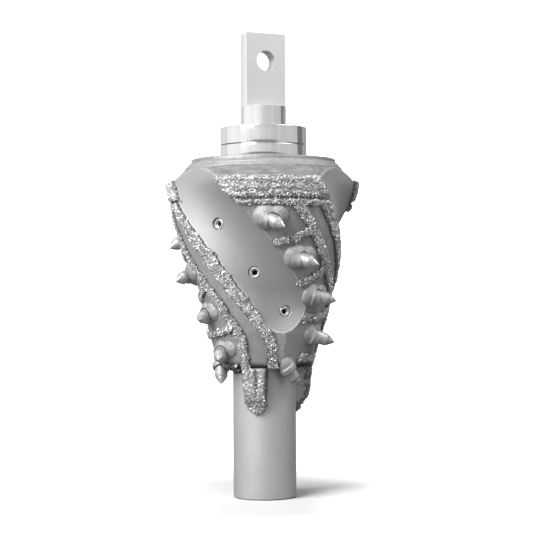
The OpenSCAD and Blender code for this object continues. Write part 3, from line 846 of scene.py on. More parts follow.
class REAMER_OT_cone(bpy.types.Operator):
    """Cone with crisp flutes, an eased shoulder and the ports for the jets"""

    bl_idname = "reamer.cone"
    bl_label = "Fluted cone"

    def execute(self, context):
        top = CONE_H + SHOULDER_H
        heights = np.concatenate([
            NOSE_ROWS,
            np.linspace(5.5, RUNOUT_FOOT - 1, 12),
            RUNOUT_TOP - np.cos(np.radians(np.linspace(2, 90, 42)))[::-1] * (RUNOUT_TOP - RUNOUT_FOOT),
            np.linspace(RUNOUT_TOP + 2, CONE_H - 2, 64),
            np.linspace(CONE_H - 1.2, top, 44),
        ])
        heights = np.unique(np.round(heights, 4))
        rel = cone_grid(heights)
        h = np.broadcast_to(heights[:, None], rel.shape)
        azimuth = flute_azimuth(h) - PITCH + rel
        r = face_radius(rel, h)
        around = (azimuth + 180) % 360 - 180
        pad = cast_pad(around, NOSE_Z + h) * smooth_ramp(h, CONE_H + 2, CONE_H + 4)
        r = r + pad - NOSE_ROUND * (1 - np.sqrt(1 - (1 - ramp(h, 0.0, NOSE_ROUND)) ** 2))
        outer = polar(azimuth, r, NOSE_Z + h)
        wander = lumps(outer, 26.0, 5) * 0.25 + lumps(outer, 9.0, 6) * 0.08
        skin = smooth_ramp(np.abs(rel - PITCH * np.round(rel / PITCH)), FLUTE_HALF, FLUTE_HALF + 4)
        outer = polar(azimuth, r + wander * skin, NOSE_Z + h)
        bore = STEM_R + CLEARANCE
        pocket = BARREL_R + CLEARANCE
        inner = [(pocket, NOSE_Z + top), (pocket, BARREL_FOOT), (bore, BARREL_FOOT), (bore, NOSE_Z)]
        rows = [outer.reshape(-1, 3)]
        for radius, z in inner:
            edge = azimuth[-1] if z > NOSE_Z + 10 else azimuth[0]
            rows.append(polar(edge, radius, z))
        points = np.vstack(rows)
        count = rel.shape[1]
        mesh = new_mesh("cone_surface", points, grid_faces(len(points) // count, count, close_rows=True))
        pins = [jet_port(w, spot) for w in WINGS for spot in JET_SPOTS]
        mesh = cut_out(mesh, new_mesh("ports", *join(pins)))
        mark_flutes(mesh)
        place("cone_surface", mesh, finish("cone steel"), replaces=["cone_body"], crease=34)
        return {"FINISHED"}


def mark_flutes(mesh):
    """Stores where the flutes and the cast shoulder are, with the painted highlight on the flutes' edges and
    the painted shade under the nose, for the finish.
    """
    p = mesh_points(mesh)
    h = p[:, 2] - NOSE_Z
    azimuth = np.degrees(np.arctan2(p[:, 0], -p[:, 1]))
    rel = azimuth - flute_azimuth(h)
    q = rel - PITCH * np.round(rel / PITCH)
    s = 1 - (q / FLUTE_HALF) ** 2 - runout(h) ** 2
    r = np.hypot(p[:, 0], p[:, 1])
    below = smooth_ramp(shoulder_radius(np.maximum(h, CONE_H)) - r, 0.1, 0.7)
    inside = smooth_ramp(s, -0.01, 0.03) * np.where(h > CONE_H, below, 1.0)
    cast = smooth_ramp(h, CONE_H - 1, CONE_H + 2) * smooth_ramp(r, BARREL_R + 2, BARREL_R + 4)
    # A painted highlight along the flute's edge, on the wings and where it runs out over the shoulder
    t = runout(h)
    scoop = FLUTE_DEPTH * np.maximum(s, 0)
    over = np.where(h > CONE_H, wing_radius(h) - scoop - EDGE_FALL * (1 - t) - shoulder_radius(h), 9.0)
    rim = np.where(h > CONE_H + 1, np.exp(-(over / 1.4) ** 2), np.exp(-(s / 0.035) ** 2))
    edge = rim * smooth_ramp(r, BARREL_R + 2, BARREL_R + 4)
    # Painted shade along the nose's rounded lower edge, where the nose overhangs the stem
    painted_nose_shade = smooth_ramp(h + 2.0 * lumps(p, 9.0, 31) + 1.0 * lumps(p, 3.5, 32), 8.2, 3.6)
    for name, values in (("flute", inside), ("cast", cast), ("edge", edge), ("painted_nose_shade", painted_nose_shade)):
        store(mesh, name, values)


# The carbide beads

# The grid that carries the beads: azimuths past the flute's centre line, heights, and their steps
GRIT_REL = (18.0, 124.0, 0.62)
GRIT_H = (0.0, 244.0, 1.15)
GRAIN_SPREAD = 0.28
FIN_GRAINS = 460
NOSE_LUMP_GRAINS = 150
# A fin's face: height in the frame against radius
FIN_FACE = ((108.0, 41.4), (113.0, 43.5), (119.0, 44.4), (129.0, 53.8), (139.0, 56.5), (169.0, 59.0))


def line_samples(w, line, shift, share, width):
    h = np.arange(line[0][0] - 2, 204, 1.6)
    rel = table(line, h) + shift * ramp(h, 90, 150)
    return face_point(w, rel, h), 0.5 * width * table(share, h)


def cross_samples(w, run):
    low = run[1] + WING_DROP[w]
    high = low + run[2]
    end = float(table(MID_LINE, high)) + MID_SHIFT[w] * float(ramp(high, 90, 150))
    s = np.linspace(0, 1, 40)
    rel = run[0] + (end - run[0]) * s
    h = low + (high - low) * s - CROSS_BOW * np.sin(np.pi * s)
    half = CROSS_HALF - CROSS_THINNING * s + 0.4 * np.sin(9 * s + run[1])
    return face_point(w, rel, h), half


def nearest(points, samples, half):
    """Distance from each point to the edge of the bead along samples; negative inside it."""
    found = np.full(len(points), 1e9)
    for start in range(0, len(points), 20000):
        block = points[start:start + 20000]
        gap = np.linalg.norm(block[:, None, :] - samples[None, :, :], axis=2) - half[None, :]
        found[start:start + 20000] = gap.min(axis=1)
    return found


def patch_gap(rel, h, span, heights, r):
    """Distance to the edge of a patch between two azimuths and two heights."""
    across = (np.abs(rel - (span[0] + span[1]) / 2) - (span[1] - span[0]) / 2) * np.radians(r)
    up = np.abs(h - (heights[0] + heights[1]) / 2) - (heights[1] - heights[0]) / 2
    outside = np.hypot(np.maximum(across, 0), np.maximum(up, 0))
    return outside + np.minimum(np.maximum(across, up), 0)


def bead_profile(depth, height):
    """Height of a bead at this depth inside its edge: steep sides and a round crest."""
    t = np.clip(depth / 3.6, 0, 1)
    return height * np.sqrt(np.clip(1 - (1 - t) ** 2, 0, 1))


def wing_grit(w, seed):
    """Heights and gaps of the beads over a grid on wing w."""
    s = sizes()
    rel, h = np.meshgrid(np.arange(*GRIT_REL), np.arange(*GRIT_H))
    flat = face_point(w, rel, h).reshape(-1, 3)
    gap = nearest(flat, *line_samples(w, EDGE_LINE, EDGE_SHIFT[w], EDGE_SHARE, EDGE_WIDTH))
    gap = np.minimum(gap, nearest(flat, *line_samples(w, MID_LINE, MID_SHIFT[w], MID_SHARE, MID_WIDTH)))
    for run in CROSS_RUNS:
        if run[1] + WING_DROP[w] > CROSS_FLOOR:
            gap = np.minimum(gap, nearest(flat, *cross_samples(w, run)))
    r = wing_radius(h)
    block = patch_gap(rel, h, (BLOCK_START, BLOCK_ENDS[w]), BLOCK_HEIGHTS, r).ravel()
    row = patch_gap(rel, h, ROW_SPAN, ROW_HEIGHTS, r).ravel()
    wander = s.bead_wander * (0.8 * lumps(flat, 7.0, seed) + 0.6 * lumps(flat, 2.8, seed + 1))
    gap = np.minimum(np.minimum(gap, block), row) + wander
    crest = s.bead_height * (1 + 0.22 * lumps(flat, 11.0, seed + 2))
    phase = (h.ravel() - BLOCK_HEIGHTS[0]) * 2 * np.pi / BLOCK_PASS - np.pi
    passes = 0.36 * np.cos(phase + 2.4 * lumps(flat, 14.0, seed + 5))
    crest = crest + np.where(block < 0, passes, 0)
    # The ends of the wing are built up most, round its widest ring
    ends = smooth_ramp(rel, 36, 26) + smooth_ramp(rel, 80, 88)
    crest = crest + (END_BUILD * ends * smooth_ramp(h, 196, 206) * smooth_ramp(h, 243, 236)).ravel()
    height = bead_profile(-gap, crest) + 0.45 * lumps(flat, 2.2, seed + 3) + 0.35 * lumps(flat, 4.2, seed + 4)
    return rel, h, gap.reshape(rel.shape), height.reshape(rel.shape)


def whole_cells(gap):
    """The grid's cells whose four corners all lie inside a bead."""
    inside = gap < 0
    return inside[:-1, :-1] & inside[:-1, 1:] & inside[1:, 1:] & inside[1:, :-1]


def slab(top, bottom, keep):
    """A closed slab between two grids of points, over the cells that keep marks."""
    rows, columns = keep.shape[0] + 1, keep.shape[1] + 1
    index = np.arange(rows * columns).reshape(rows, columns)
    a, b = index[:-1, :-1][keep], index[:-1, 1:][keep]
    c, d = index[1:, 1:][keep], index[1:, :-1][keep]
    used = np.unique(np.concatenate([a, b, c, d]))
    order = np.full(rows * columns, -1)
    order[used] = np.arange(len(used))
    lid = order[np.stack([a, b, c, d], axis=1)]
    floor = lid[:, ::-1] + len(used)
    edges = np.concatenate([lid[:, [0, 1]], lid[:, [1, 2]], lid[:, [2, 3]], lid[:, [3, 0]]])
    known = set(map(tuple, edges.tolist()))
    rim = [e for e in edges.tolist() if (e[1], e[0]) not in known]
    walls = [[e[1], e[0], e[0] + len(used), e[1] + len(used)] for e in rim]
    points = np.vstack([top.reshape(-1, 3)[used], bottom.reshape(-1, 3)[used]])
    return points, lid.tolist() + floor.tolist() + walls


def grain_shapes(centres, radii, random):
    """Broken grains: battered blocks, each turned and stretched its own way."""
    base = np.array(list(itertools.product((-1, 1), repeat=3)), float) / math.sqrt(2.2)
    faces = np.array([(0, 1, 3), (0, 3, 2), (4, 6, 7), (4, 7, 5), (0, 4, 5), (0, 5, 1),
                      (2, 3, 7), (2, 7, 6), (0, 2, 6), (0, 6, 4), (1, 5, 7), (1, 7, 3)])
    n = len(centres)
    q = random.normal(size=(n, 4))
    q /= np.linalg.norm(q, axis=1, keepdims=True)
    a, b, c, d = q.T
    turn = np.stack([
        1 - 2 * (c * c + d * d), 2 * (b * c - a * d), 2 * (b * d + a * c),
        2 * (b * c + a * d), 1 - 2 * (b * b + d * d), 2 * (c * d - a * b),
        2 * (b * d - a * c), 2 * (c * d + a * b), 1 - 2 * (b * b + c * c),
    ], axis=1).reshape(n, 3, 3)
    stretch = random.uniform(0.7, 1.3, size=(n, 1, 3))
    shape = base[None] * random.uniform(0.6, 1.15, size=(n, 8, 1)) * stretch * radii[:, None, None]
    shape = shape + random.normal(0, 0.12, size=shape.shape) * radii[:, None, None]
    points = np.einsum("nij,nkj->nki", turn, shape) + centres[:, None, :]
    tris = faces[None] + 8 * np.arange(n)[:, None, None]
    return points.reshape(-1, 3), tris.reshape(-1, 3).tolist()


def scatter(rel, h, gap, height, count, random, radius):
    """Grain centres over the beads: azimuth, height over the nose, lift and radius."""
    inside = np.flatnonzero(gap.ravel() < -0.2)
    weight = wing_radius(h.ravel()[inside])
    pick = random.choice(inside, size=count, p=weight / weight.sum())
    size = radius * np.exp(random.normal(0, GRAIN_SPREAD, count))
    size = np.clip(size, 0.6 * radius, 1.9 * radius)
    spread_rel = rel.ravel()[pick] + random.uniform(-0.3, 0.3, count)
    spread_h = h.ravel()[pick] + random.uniform(-0.6, 0.6, count)
    lift = height.ravel()[pick] - 0.45 * size + random.normal(0, 0.25, count)
    return spread_rel, spread_h, lift, size


def mark_crests(mesh, w, slab_points):
    """Stores how far each corner of the grit stands out, so that the finish can paint shade into the gaps."""
    p = mesh_points(mesh)
    z = p[:, 2]
    h = np.clip(z - NOSE_Z, 0, None)
    azimuth = np.degrees(np.arctan2(p[:, 0], -p[:, 1]))
    rel = azimuth - flute_azimuth(h) - wing_turn(w)
    ground = np.where(z < NOSE_Z, fin_radius(z), face_radius(rel, h))
    out = np.hypot(p[:, 0], p[:, 1]) - ground
    crest = smooth_ramp(out, 1.2, 4.4)
    # The bead's body under the grains gets deeper painted shade.
    crest[:slab_points] *= 0.55
    store(mesh, "crest", crest)


class REAMER_OT_hard_facing(bpy.types.Operator):
    """Carbide beads with crushed grains along and across every wing, and on its fin"""

    bl_idname = "reamer.hard_facing"
    bl_label = "Hard facing"

    def execute(self, context):
        s = sizes()
        for number, w in enumerate(WINGS):
            random = np.random.default_rng(41 + number)
            rel, h, gap, height = wing_grit(w, 20 * number)
            keep = whole_cells(gap)
            top = face_point(w, rel, h, np.maximum(height, 0.3))
            bottom = face_point(w, rel, h, -1.0)
            parts = [slab(top, bottom, keep)]
            where = scatter(rel, h, gap, height, s.grain_count, random, s.grain)
            parts.append(grain_shapes(face_point(w, where[0], where[1], where[2]), where[3], random))
            parts += fin_grit(w, random)
            if w in NOSE_LUMPS:
                parts.append(self.nose_lump(NOSE_LUMPS[w], random))
            mesh = new_mesh("grit_" + w, *join(parts))
            mark_crests(mesh, w, len(parts[0][0]))
            place("grit_" + w, mesh, finish("carbide grit"), replaces=["hardfacing_" + w])
        return {"FINISHED"}

    def nose_lump(self, azimuth, random):
        """Grains that ran round the nose's edge, down to the stem."""
        count = NOSE_LUMP_GRAINS
        turn = azimuth + random.uniform(-12, 12, count)
        z = NOSE_Z + random.uniform(-6.5, 6.0, count)
        low = STEM_R + 1.0 + 2.2 * (z - NOSE_Z + 6.5)
        r = np.minimum(low * random.uniform(0.98, 1.04, count), NOSE_R + 1.5)
        return grain_shapes(polar(turn, r, z), random.uniform(1.2, 2.3, count), random)


def fin_radius(z):
    return table(FIN_FACE, z)


def fin_half(up):
    """Half width of a fin at this height over its foot."""
    toe = FIN_FOOT_R ** 2 - np.clip(FIN_FOOT_R - up, 0, None) ** 2
    straight = np.interp(up, [FIN_FOOT_R, 56.0], [FIN_FOOT_R, 15.0])
    return np.where(up < FIN_FOOT_R, np.sqrt(np.clip(toe, 0, None)), straight)


def fin_grit(w, random):
    """Grit all over a fin's face and round its edges."""
    s = sizes()
    across = np.arange(-17.5, 17.6, 0.9)
    z = np.arange(FIN_FOOT - 3.2, NOSE_Z + 0.6, 1.0)
    across, z = np.meshgrid(across, z)
    azimuth = float(face_azimuth(w, FIN_REL[w], 0.0))
    half = fin_half(z - FIN_FOOT + 2.4)
    over = np.clip(np.abs(across) - half, 0, None)

    def at(lift):
        r = np.maximum(fin_radius(z) - 3.2 * over, STEM_R) + lift
        return polar(azimuth + np.degrees(np.arcsin(np.clip(across / r, -1, 1))), r, z)

    flat = at(0.0)
    gap = np.abs(across) - half - 1.5 + 0.9 * lumps(flat, 5.0, 71) + 0.5 * lumps(flat, 2.4, 72)
    # Two passes side by side leave a valley between them
    valley = 1.5 * np.exp(-((across - 3.0) / 2.2) ** 2) * smooth_ramp(z, FIN_FOOT + 14, FIN_FOOT + 34)
    height = bead_profile(-gap, 3.2 - valley) + 0.5 * lumps(flat, 2.2, 73)
    keep = whole_cells(gap)
    parts = [slab(at(np.maximum(height, 0.3)), at(-1.0), keep)]
    inside = np.flatnonzero(gap.ravel() < -0.2)
    pick = random.choice(inside, size=FIN_GRAINS)
    size = s.grain * np.exp(random.normal(0, GRAIN_SPREAD, len(pick)))
    # Each grain sinks a little towards the stem, at the height of its own spot
    crest = at(height).reshape(-1, 3)[pick] * (1 - 0.4 * size / 50)[:, None]
    centre = crest * [1, 1, 0] + flat.reshape(-1, 3)[pick] * [0, 0, 1]
    parts.append(grain_shapes(centre, size, random))
    return parts


# Buttons

# The weld's sleeve round a shank as [radius, height along the shank], and the last button's wide mouth
SLEEVE = [[12.0, 1.0], [10.4, 5.4], [9.6, 9.0], [9.1, 11.8]]
WIDE_MOUTH = [[11.6, 1.0], [11.6, 5.0], [11.2, 7.5], [10.9, 9.0]]
MOUTH_CLEAR = 0.25
WIDE_CLEAR = 1.3
MOUTH_RISE = 1.1
WELD_VOXEL = 0.85


class REAMER_OT_weld_domes(bpy.types.Operator):
    """A dome of weld metal round the foot of each button"""

    bl_idname = "reamer.weld_domes"
    bl_label = "Weld domes"

    def execute(self, context):
        for w in WINGS:
            domes = [self.dome(w, k) for k in range(len(BUTTON_SPOTS[w]))]
            mesh = new_mesh("weld_domes_" + w, *join(domes))
            place("weld_domes_" + w, mesh, finish("weld metal"),
                  replaces=["button_welds_" + w], crease=48)
        return {"FINISHED"}

    def dome(self, w, k):
        s = sizes()
        share = DOME_SHARE[k]
        last = k == len(BUTTON_SPOTS[w]) - 1
        parts = [self.cap(w, k, (0, 0), s.dome_ball * (0.7 if last else 1.0), s.dome_height * share)]
        if not last:
            # The weld runs on under the leaning shank, on the side it leans to
            parts.append(self.cap(w, k, BED_SHIFT, s.dome_ball * 0.85, s.dome_height * share * 0.74))
        form = WIDE_MOUTH if last else SLEEVE
        sleeve = lathe([[0, 1.0]] + form + [[0, form[-1][1]]], 40)
        shift = Matrix.Translation(Vector((0 if last else 1.6, 0, 0)))
        parts.append((moved(sleeve[0], button_matrix(w, k) @ shift), sleeve[1]))
        mesh = modified(
            new_mesh("dome", *join(parts)),
            ("REMESH", {"mode": "VOXEL", "voxel_size": WELD_VOXEL * MM}),
            ("SMOOTH", {"factor": 0.5, "iterations": 5}),
        )
        p = mesh_points(mesh)
        normals = mesh_normals(mesh)
        seed = 100 + 10 * WINGS.index(w) + k
        local = moved(p, button_matrix(w, k).inverted())
        along = local[:, 2]
        ripple = 0.14 * np.sin(along * 2.1 + 1.4 * lumps(p, 6.0, seed)) * smooth_ramp(along, 2.0, 9.0)
        p = p + normals * (0.6 * lumps(p, 9.0, seed) + 0.2 * lumps(p, 3.0, seed + 1) + ripple)[:, None]
        set_mesh_points(mesh, p)
        # The mouth is open over the shank and closed under it
        clear = WIDE_CLEAR if last else MOUTH_CLEAR
        gap = lathe([[0, 3.0], [SHANK_R + clear, 3.0], [SHANK_R + clear + 0.6, 34.0], [0, 34.0]], 40)
        lifted = button_matrix(w, k) @ Matrix.Translation(Vector((-MOUTH_RISE, 0, 0)))
        mesh = cut_out(mesh, new_mesh("mouth", moved(gap[0], lifted), gap[1]))
        return mesh_points(mesh), [list(f.vertices) for f in mesh.polygons]

    def cap(self, w, k, offset, ball, tall):
        """A cap of a ball on the cone, offset in millimetres round the cone and up from the button's foot."""
        foot = math.sqrt(ball * ball - (ball - tall) ** 2)
        slope = math.degrees(math.acos(1 - tall / ball))
        rim = [[foot, -3.0]] + arc(0, tall - ball, ball, 90 - slope, 90, 12)
        points, faces = lathe([[0, -3.0]] + rim[:-1] + [[0, tall]], 48)
        return moved(points, dome_matrix(w, k, offset)), faces


class REAMER_OT_buttons(bpy.types.Operator):
    """Steel shanks and carbide tips of the buttons"""

    bl_idname = "reamer.buttons"
    bl_label = "Buttons"

    def execute(self, context):
        bevel_top = SHANK_OUT + BEVEL_LEN
        shank = (
            [[0, -8.0], [SHANK_R, -8.0], [SHANK_R, 4.0], [SHANK_R - 0.05, SHANK_OUT * 0.5],
             [SHANK_R - 0.2, SHANK_OUT - 1.5]]
            + arc(SHANK_R - 2.2, SHANK_OUT - 1.2, 2.0, 0, 42, 6)
            + [[TIP_R + 0.75, bevel_top - 0.9], [TIP_R + 0.35, bevel_top - 0.35],
               [TIP_R - 0.25, bevel_top - 0.15], [TIP_R - 0.45, bevel_top - 0.7], [0, bevel_top - 0.7]]
        )
        tip = (
            [[0, bevel_top - 1.2], [TIP_R - 0.6, bevel_top - 1.2], [TIP_R - 0.35, bevel_top - 0.3],
             [TIP_R, bevel_top + 0.3], [TIP_R - 0.12, bevel_top + 0.8], [TIP_R - 1.3, bevel_top + 2.4],
             [TIP_R - 3.2, bevel_top + 5.2]]
            + arc(0, bevel_top + TIP_LEN - POINT_R, POINT_R, 35, 90, 5)[:-1]
            + [[0, bevel_top + TIP_LEN]]
        )
        for w in WINGS:
            for k in range(len(BUTTON_SPOTS[w])):
                name = "%s%d" % (w, k + 1)
                for kind, profile, metal, slot, node in (
                    ("shank_", shank, "blasted button steel", "forged_button", "button_"),
                    ("tip_", tip, "sintered carbide", "sintered_carbide", "carbide_tip_"),
                ):
                    points, faces = lathe(profile, 48)
                    mesh = new_mesh(kind + name, moved(points, button_matrix(w, k)), faces)
                    place(kind + name, mesh, finish(metal), replaces=[node + name], crease=40)
        return {"FINISHED"}


class REAMER_OT_jets(bpy.types.Operator):
    """Bright-rimmed jets in the flutes"""

    bl_idname = "reamer.jets"
    bl_label = "Water jets"

    def execute(self, context):
        for w in WINGS:
            parts = []
            for spot in JET_SPOTS:
                face = float(face_radius(spot[0], spot[1]))
                top = face - 0.9
                ring = (
                    [[JET_HOLE_R + 0.3, face - PORT_DEPTH + 0.2], [PORT_R - 0.15, face - PORT_DEPTH + 0.2],
                     [PORT_R - 0.15, face - 3.4], [JET_RIM_R, face - 3.4]]
                    + arc(JET_RIM_R - 0.45, top - 0.45, 0.45, 0, 90, 4)
                    + arc(JET_HOLE_R + 1.5, top - 0.4, 0.4, 90, 180, 4)
                    + [[JET_HOLE_R + 0.9, top - 1.6], [JET_HOLE_R, top - 2.2]]
                )
                points, faces = lathe(ring, 40)
                parts.append((moved(points, jet_matrix(w, spot)), faces))
            mesh = new_mesh("jet_rims_" + w, *join(parts))
            place("jet_rims_" + w, mesh, finish("jet rim steel"),
                  replaces=["jets_" + w], crease=40)
        return {"FINISHED"}


# The crown and the swivel

def ring_points(radius, turn, z):
    """Places on a ring of this radius, from which the noise of a turned form is read."""
    return np.stack(np.broadcast_arrays(radius * np.cos(turn), radius * np.sin(turn), z), axis=-1)


class REAMER_OT_crown(bpy.types.Operator):
    """Crown plate with a torch-cut rim and its wandering double weld"""

    bl_idname = "reamer.crown"
    bl_label = "Crown"

    def execute(self, context):
        wave = sizes().weld_wave
        plate = (
            [[BARREL_R + CLEARANCE, SHOULDER_Z + 0.02], [CROWN_R - 1.0, SHOULDER_Z + 0.02],
             [CROWN_R, SHOULDER_Z + 0.6]]
            + arc(CROWN_R - 1.8, CROWN_Z - 1.8, 1.8, 0, 90, 7)
            + [[CROWN_R - 12, CROWN_Z], [COLLAR_R + 4, CROWN_Z], [BARREL_R + CLEARANCE, CROWN_Z]]
        )

        def cut(r, z, turn):
            around = ring_points(40, turn, z * 0)
            outer = smooth_ramp(r, CROWN_R - 3, CROWN_R)
            out = outer * 0.5 * wave * lumps(around, 9.0, 201)
            return r + out, z + outer * 0.25 * lumps(around, 5.0, 202)

        mesh = new_mesh("crown_disc", *lathe(plate, 240, cut))
        place("crown_disc", mesh, finish("crown plate steel"),
              replaces=["crown_plate"], crease=50)

        slope = (EQUATOR_R - CROWN_R) / SHOULDER_H
        steep = math.hypot(1, slope)
        # A double pass down the shoulder: [distance down the slope, height over it]
        passes = ((11.6, -0.9), (11.2, 0.1), (10.2, 0.9), (8.6, 1.35), (7.0, 1.2), (6.0, 0.45), (5.2, 0.7),
                  (4.0, 1.45), (2.2, 1.7), (0.8, 1.3), (-0.6, 1.2))
        down = [[CROWN_R + (a * slope + b) / steep, SHOULDER_Z + (b * slope - a) / steep] for a, b in passes]
        loop = [[CROWN_R - 1.5, SHOULDER_Z + 1.8], [CROWN_R - 1.5, SHOULDER_Z - 0.6]] + down

        def run(r, z, turn):
            around = ring_points(70, turn, z * 2.0)
            out = smooth_ramp(r, CROWN_R - 1, CROWN_R + 2)
            slide = wave * out * (1.3 * lumps(around, 16.0, 213) + 0.5 * lumps(around, 6.0, 214))
            swell = wave * out * (0.3 * lumps(around, 7.0, 212) + 0.12 * np.sin(turn * 110 + 4 * slide))
            return r + (slide * slope + swell) / steep, z + (swell * slope - slide) / steep

        foot = (
            [[COLLAR_R - 0.6, CROWN_Z - 0.6], [COLLAR_R + 4.2, CROWN_Z - 0.6]]
            + arc(COLLAR_R + 4.2 - 1.4, CROWN_Z, 1.4, 0, 60, 4)
            + arc(COLLAR_R + 1.6, CROWN_Z + 2.2, 1.1, 20, 110, 5)
            + [[COLLAR_R - 0.6, CROWN_Z + 3.6]]
        )

        def bead(r, z, turn):
            around = ring_points(50, turn, z)
            outer = smooth_ramp(r, COLLAR_R, COLLAR_R + 1.5)
            out = outer * 0.6 * wave * lumps(around, 6.0, 221)
            return r + out, z + outer * 0.35 * wave * lumps(around, 9.0, 222)

        parts = [lathe(loop, 420, run), lathe(foot, 300, bead)]
        mesh = new_mesh("crown_seams", *join(parts))
        place("crown_seams", mesh, finish("crown weld metal"),
              replaces=["crown_welds"], crease=60)
        return {"FINISHED"}


class REAMER_OT_swivel(bpy.types.Operator):
    """Turned collar and cap of the swivel"""

    bl_idname = "reamer.swivel"
    bl_label = "Swivel collar and cap"

    def execute(self, context):
        low = BARREL_FOOT
        gap = SHAFT_R + 0.5
        housing = (
            [[0, low], [BARREL_R - 1, low], [BARREL_R, low + 1], [BARREL_R, CROWN_Z + 0.02],
             [COLLAR_R - 0.6, CROWN_Z + 0.02]]
            + arc(COLLAR_R - 0.4, CROWN_Z + 0.42, 0.4, -60, 0, 3)
            + arc(COLLAR_R - 0.7, JOINT_Z - 1.1, 0.7, 0, 90, 6)
            + [[JOINT_MOUTH_R, JOINT_Z - JOINT_GAP], [CUP_R, JOINT_Z - JOINT_GAP], [CUP_R, CUP_SHELF_Z],
               [CUP_SHELF_R, CUP_SHELF_Z], [CUP_SHELF_R, low + BARREL_FLOOR], [0, low + BARREL_FLOOR]]
        )
        cap = (
            [[CUP_SHELF_R + 0.5, SPIGOT_FOOT_Z], [CUP_R - 0.1, SPIGOT_FOOT_Z],
             [CUP_R - 0.1, JOINT_Z + JOINT_GAP], [JOINT_MOUTH_R - 0.4, JOINT_Z + JOINT_GAP]]
            + arc(COLLAR_R - 0.7, JOINT_Z + 1.1, 0.7, -90, 0, 6)
            + arc(COLLAR_R - 0.8, CAP_Z - 0.8, 0.8, 0, 90, 6)
            + arc(SHAFT_R + 1.3, CAP_Z - 0.8, 0.8, 90, 180, 4)
            + [[gap, SEAL_TOP_Z], [SEAL_R, SEAL_TOP_Z], [SEAL_R, SEAL_TOP_Z - 1.1], [SEAL_R, SEAL_FOOT_Z],
               [gap, SEAL_FOOT_Z], [gap, COLLAR_Z], [CUP_SHELF_R + 0.5, COLLAR_Z]]
        )
        for name, profile, node in (("collar", housing, "swivel_housing"), ("cap", cap, "swivel_cap")):
            mesh = new_mesh(name, *lathe(profile, 256))
            place(name, mesh, finish("turned steel"), replaces=[node], crease=50)
        dress("swivel_shaft", "shaft steel")
        return {"FINISHED"}


class REAMER_OT_solids(bpy.types.Operator):
    """Finishes on the stem, the fins and the parts inside the swivel"""

    bl_idname = "reamer.solids"
    bl_label = "Stem, fins and bearings"

    def execute(self, context):
        dress("mandrel", "blasted stem steel")
        for w in WINGS:
            dress("lead_fin_" + w, "blasted fin steel")
        for node in ("upper_cup", "lower_cup", "upper_cone", "lower_cone", "upper_rollers", "lower_rollers"):
            dress(node, "bearing steel")
        for node in ("lock_nut", "grease_plug"):
            dress(node, "turned steel")
        for node in ("shaft_seal", "cap_ring"):
            dress(node, "seal rubber")
        return {"FINISHED"}


# The studio

IMAGE_W = 533.0
FOCAL_PX = 1570.0
SENSOR_MM = 36.0
CAMERA_AT = (0.0, -2.041, 0.268)
# Where the tool's axis and the camera's horizon cross the picture, in pixels
AXIS_PX = 263.95
HORIZON_PX = 290.0
LEAN = 0.0047

MIDDLE = (0.0, 0.0, 0.3)
KEY_AT = (-1.7, -1.75, 1.95)
KEY_SIZE = (1.9, 1.9)
SIDE_AT = (1.5, -0.5, 1.9)
SIDE_SIZE = (1.3, 1.3)

# The paper, in metres: a flat floor, a quarter round and an upright wall
PAPER_HALF = 6.0
PAPER_FRONT = -14.4
SWEEP_Y = 1.6
SWEEP_R = 0.9
WALL_TOP = 4.5

CARD_CORNERS = ((1.55, 0.32, 0.0), (1.35, 0.95, 0.0), (1.35, 0.95, 1.5), (1.55, 0.32, 1.5))


def add_lamp(name, at, size, power):
    """A soft rectangular lamp that looks at the middle of the tool."""
    data = bpy.data.lights.new(name, "AREA")
    data.shape = "RECTANGLE"
    data.size, data.size_y = size
    data.energy = power
    lamp = bpy.data.objects.new(name, data)
    bpy.context.scene.collection.objects.link(lamp)
    lamp.location = at
    lamp.rotation_euler = (Vector(MIDDLE) - lamp.location).to_track_quat("-Z", "Y").to_euler()
    return lamp


def split_view(f, others, camera):
    """One shader for what the object sees, another for the camera."""
    seen = f.node("ShaderNodeLightPath", {}, {}, "Is Camera Ray")
    return f.node("ShaderNodeMixShader", {}, {0: seen, 1: others, 2: camera})


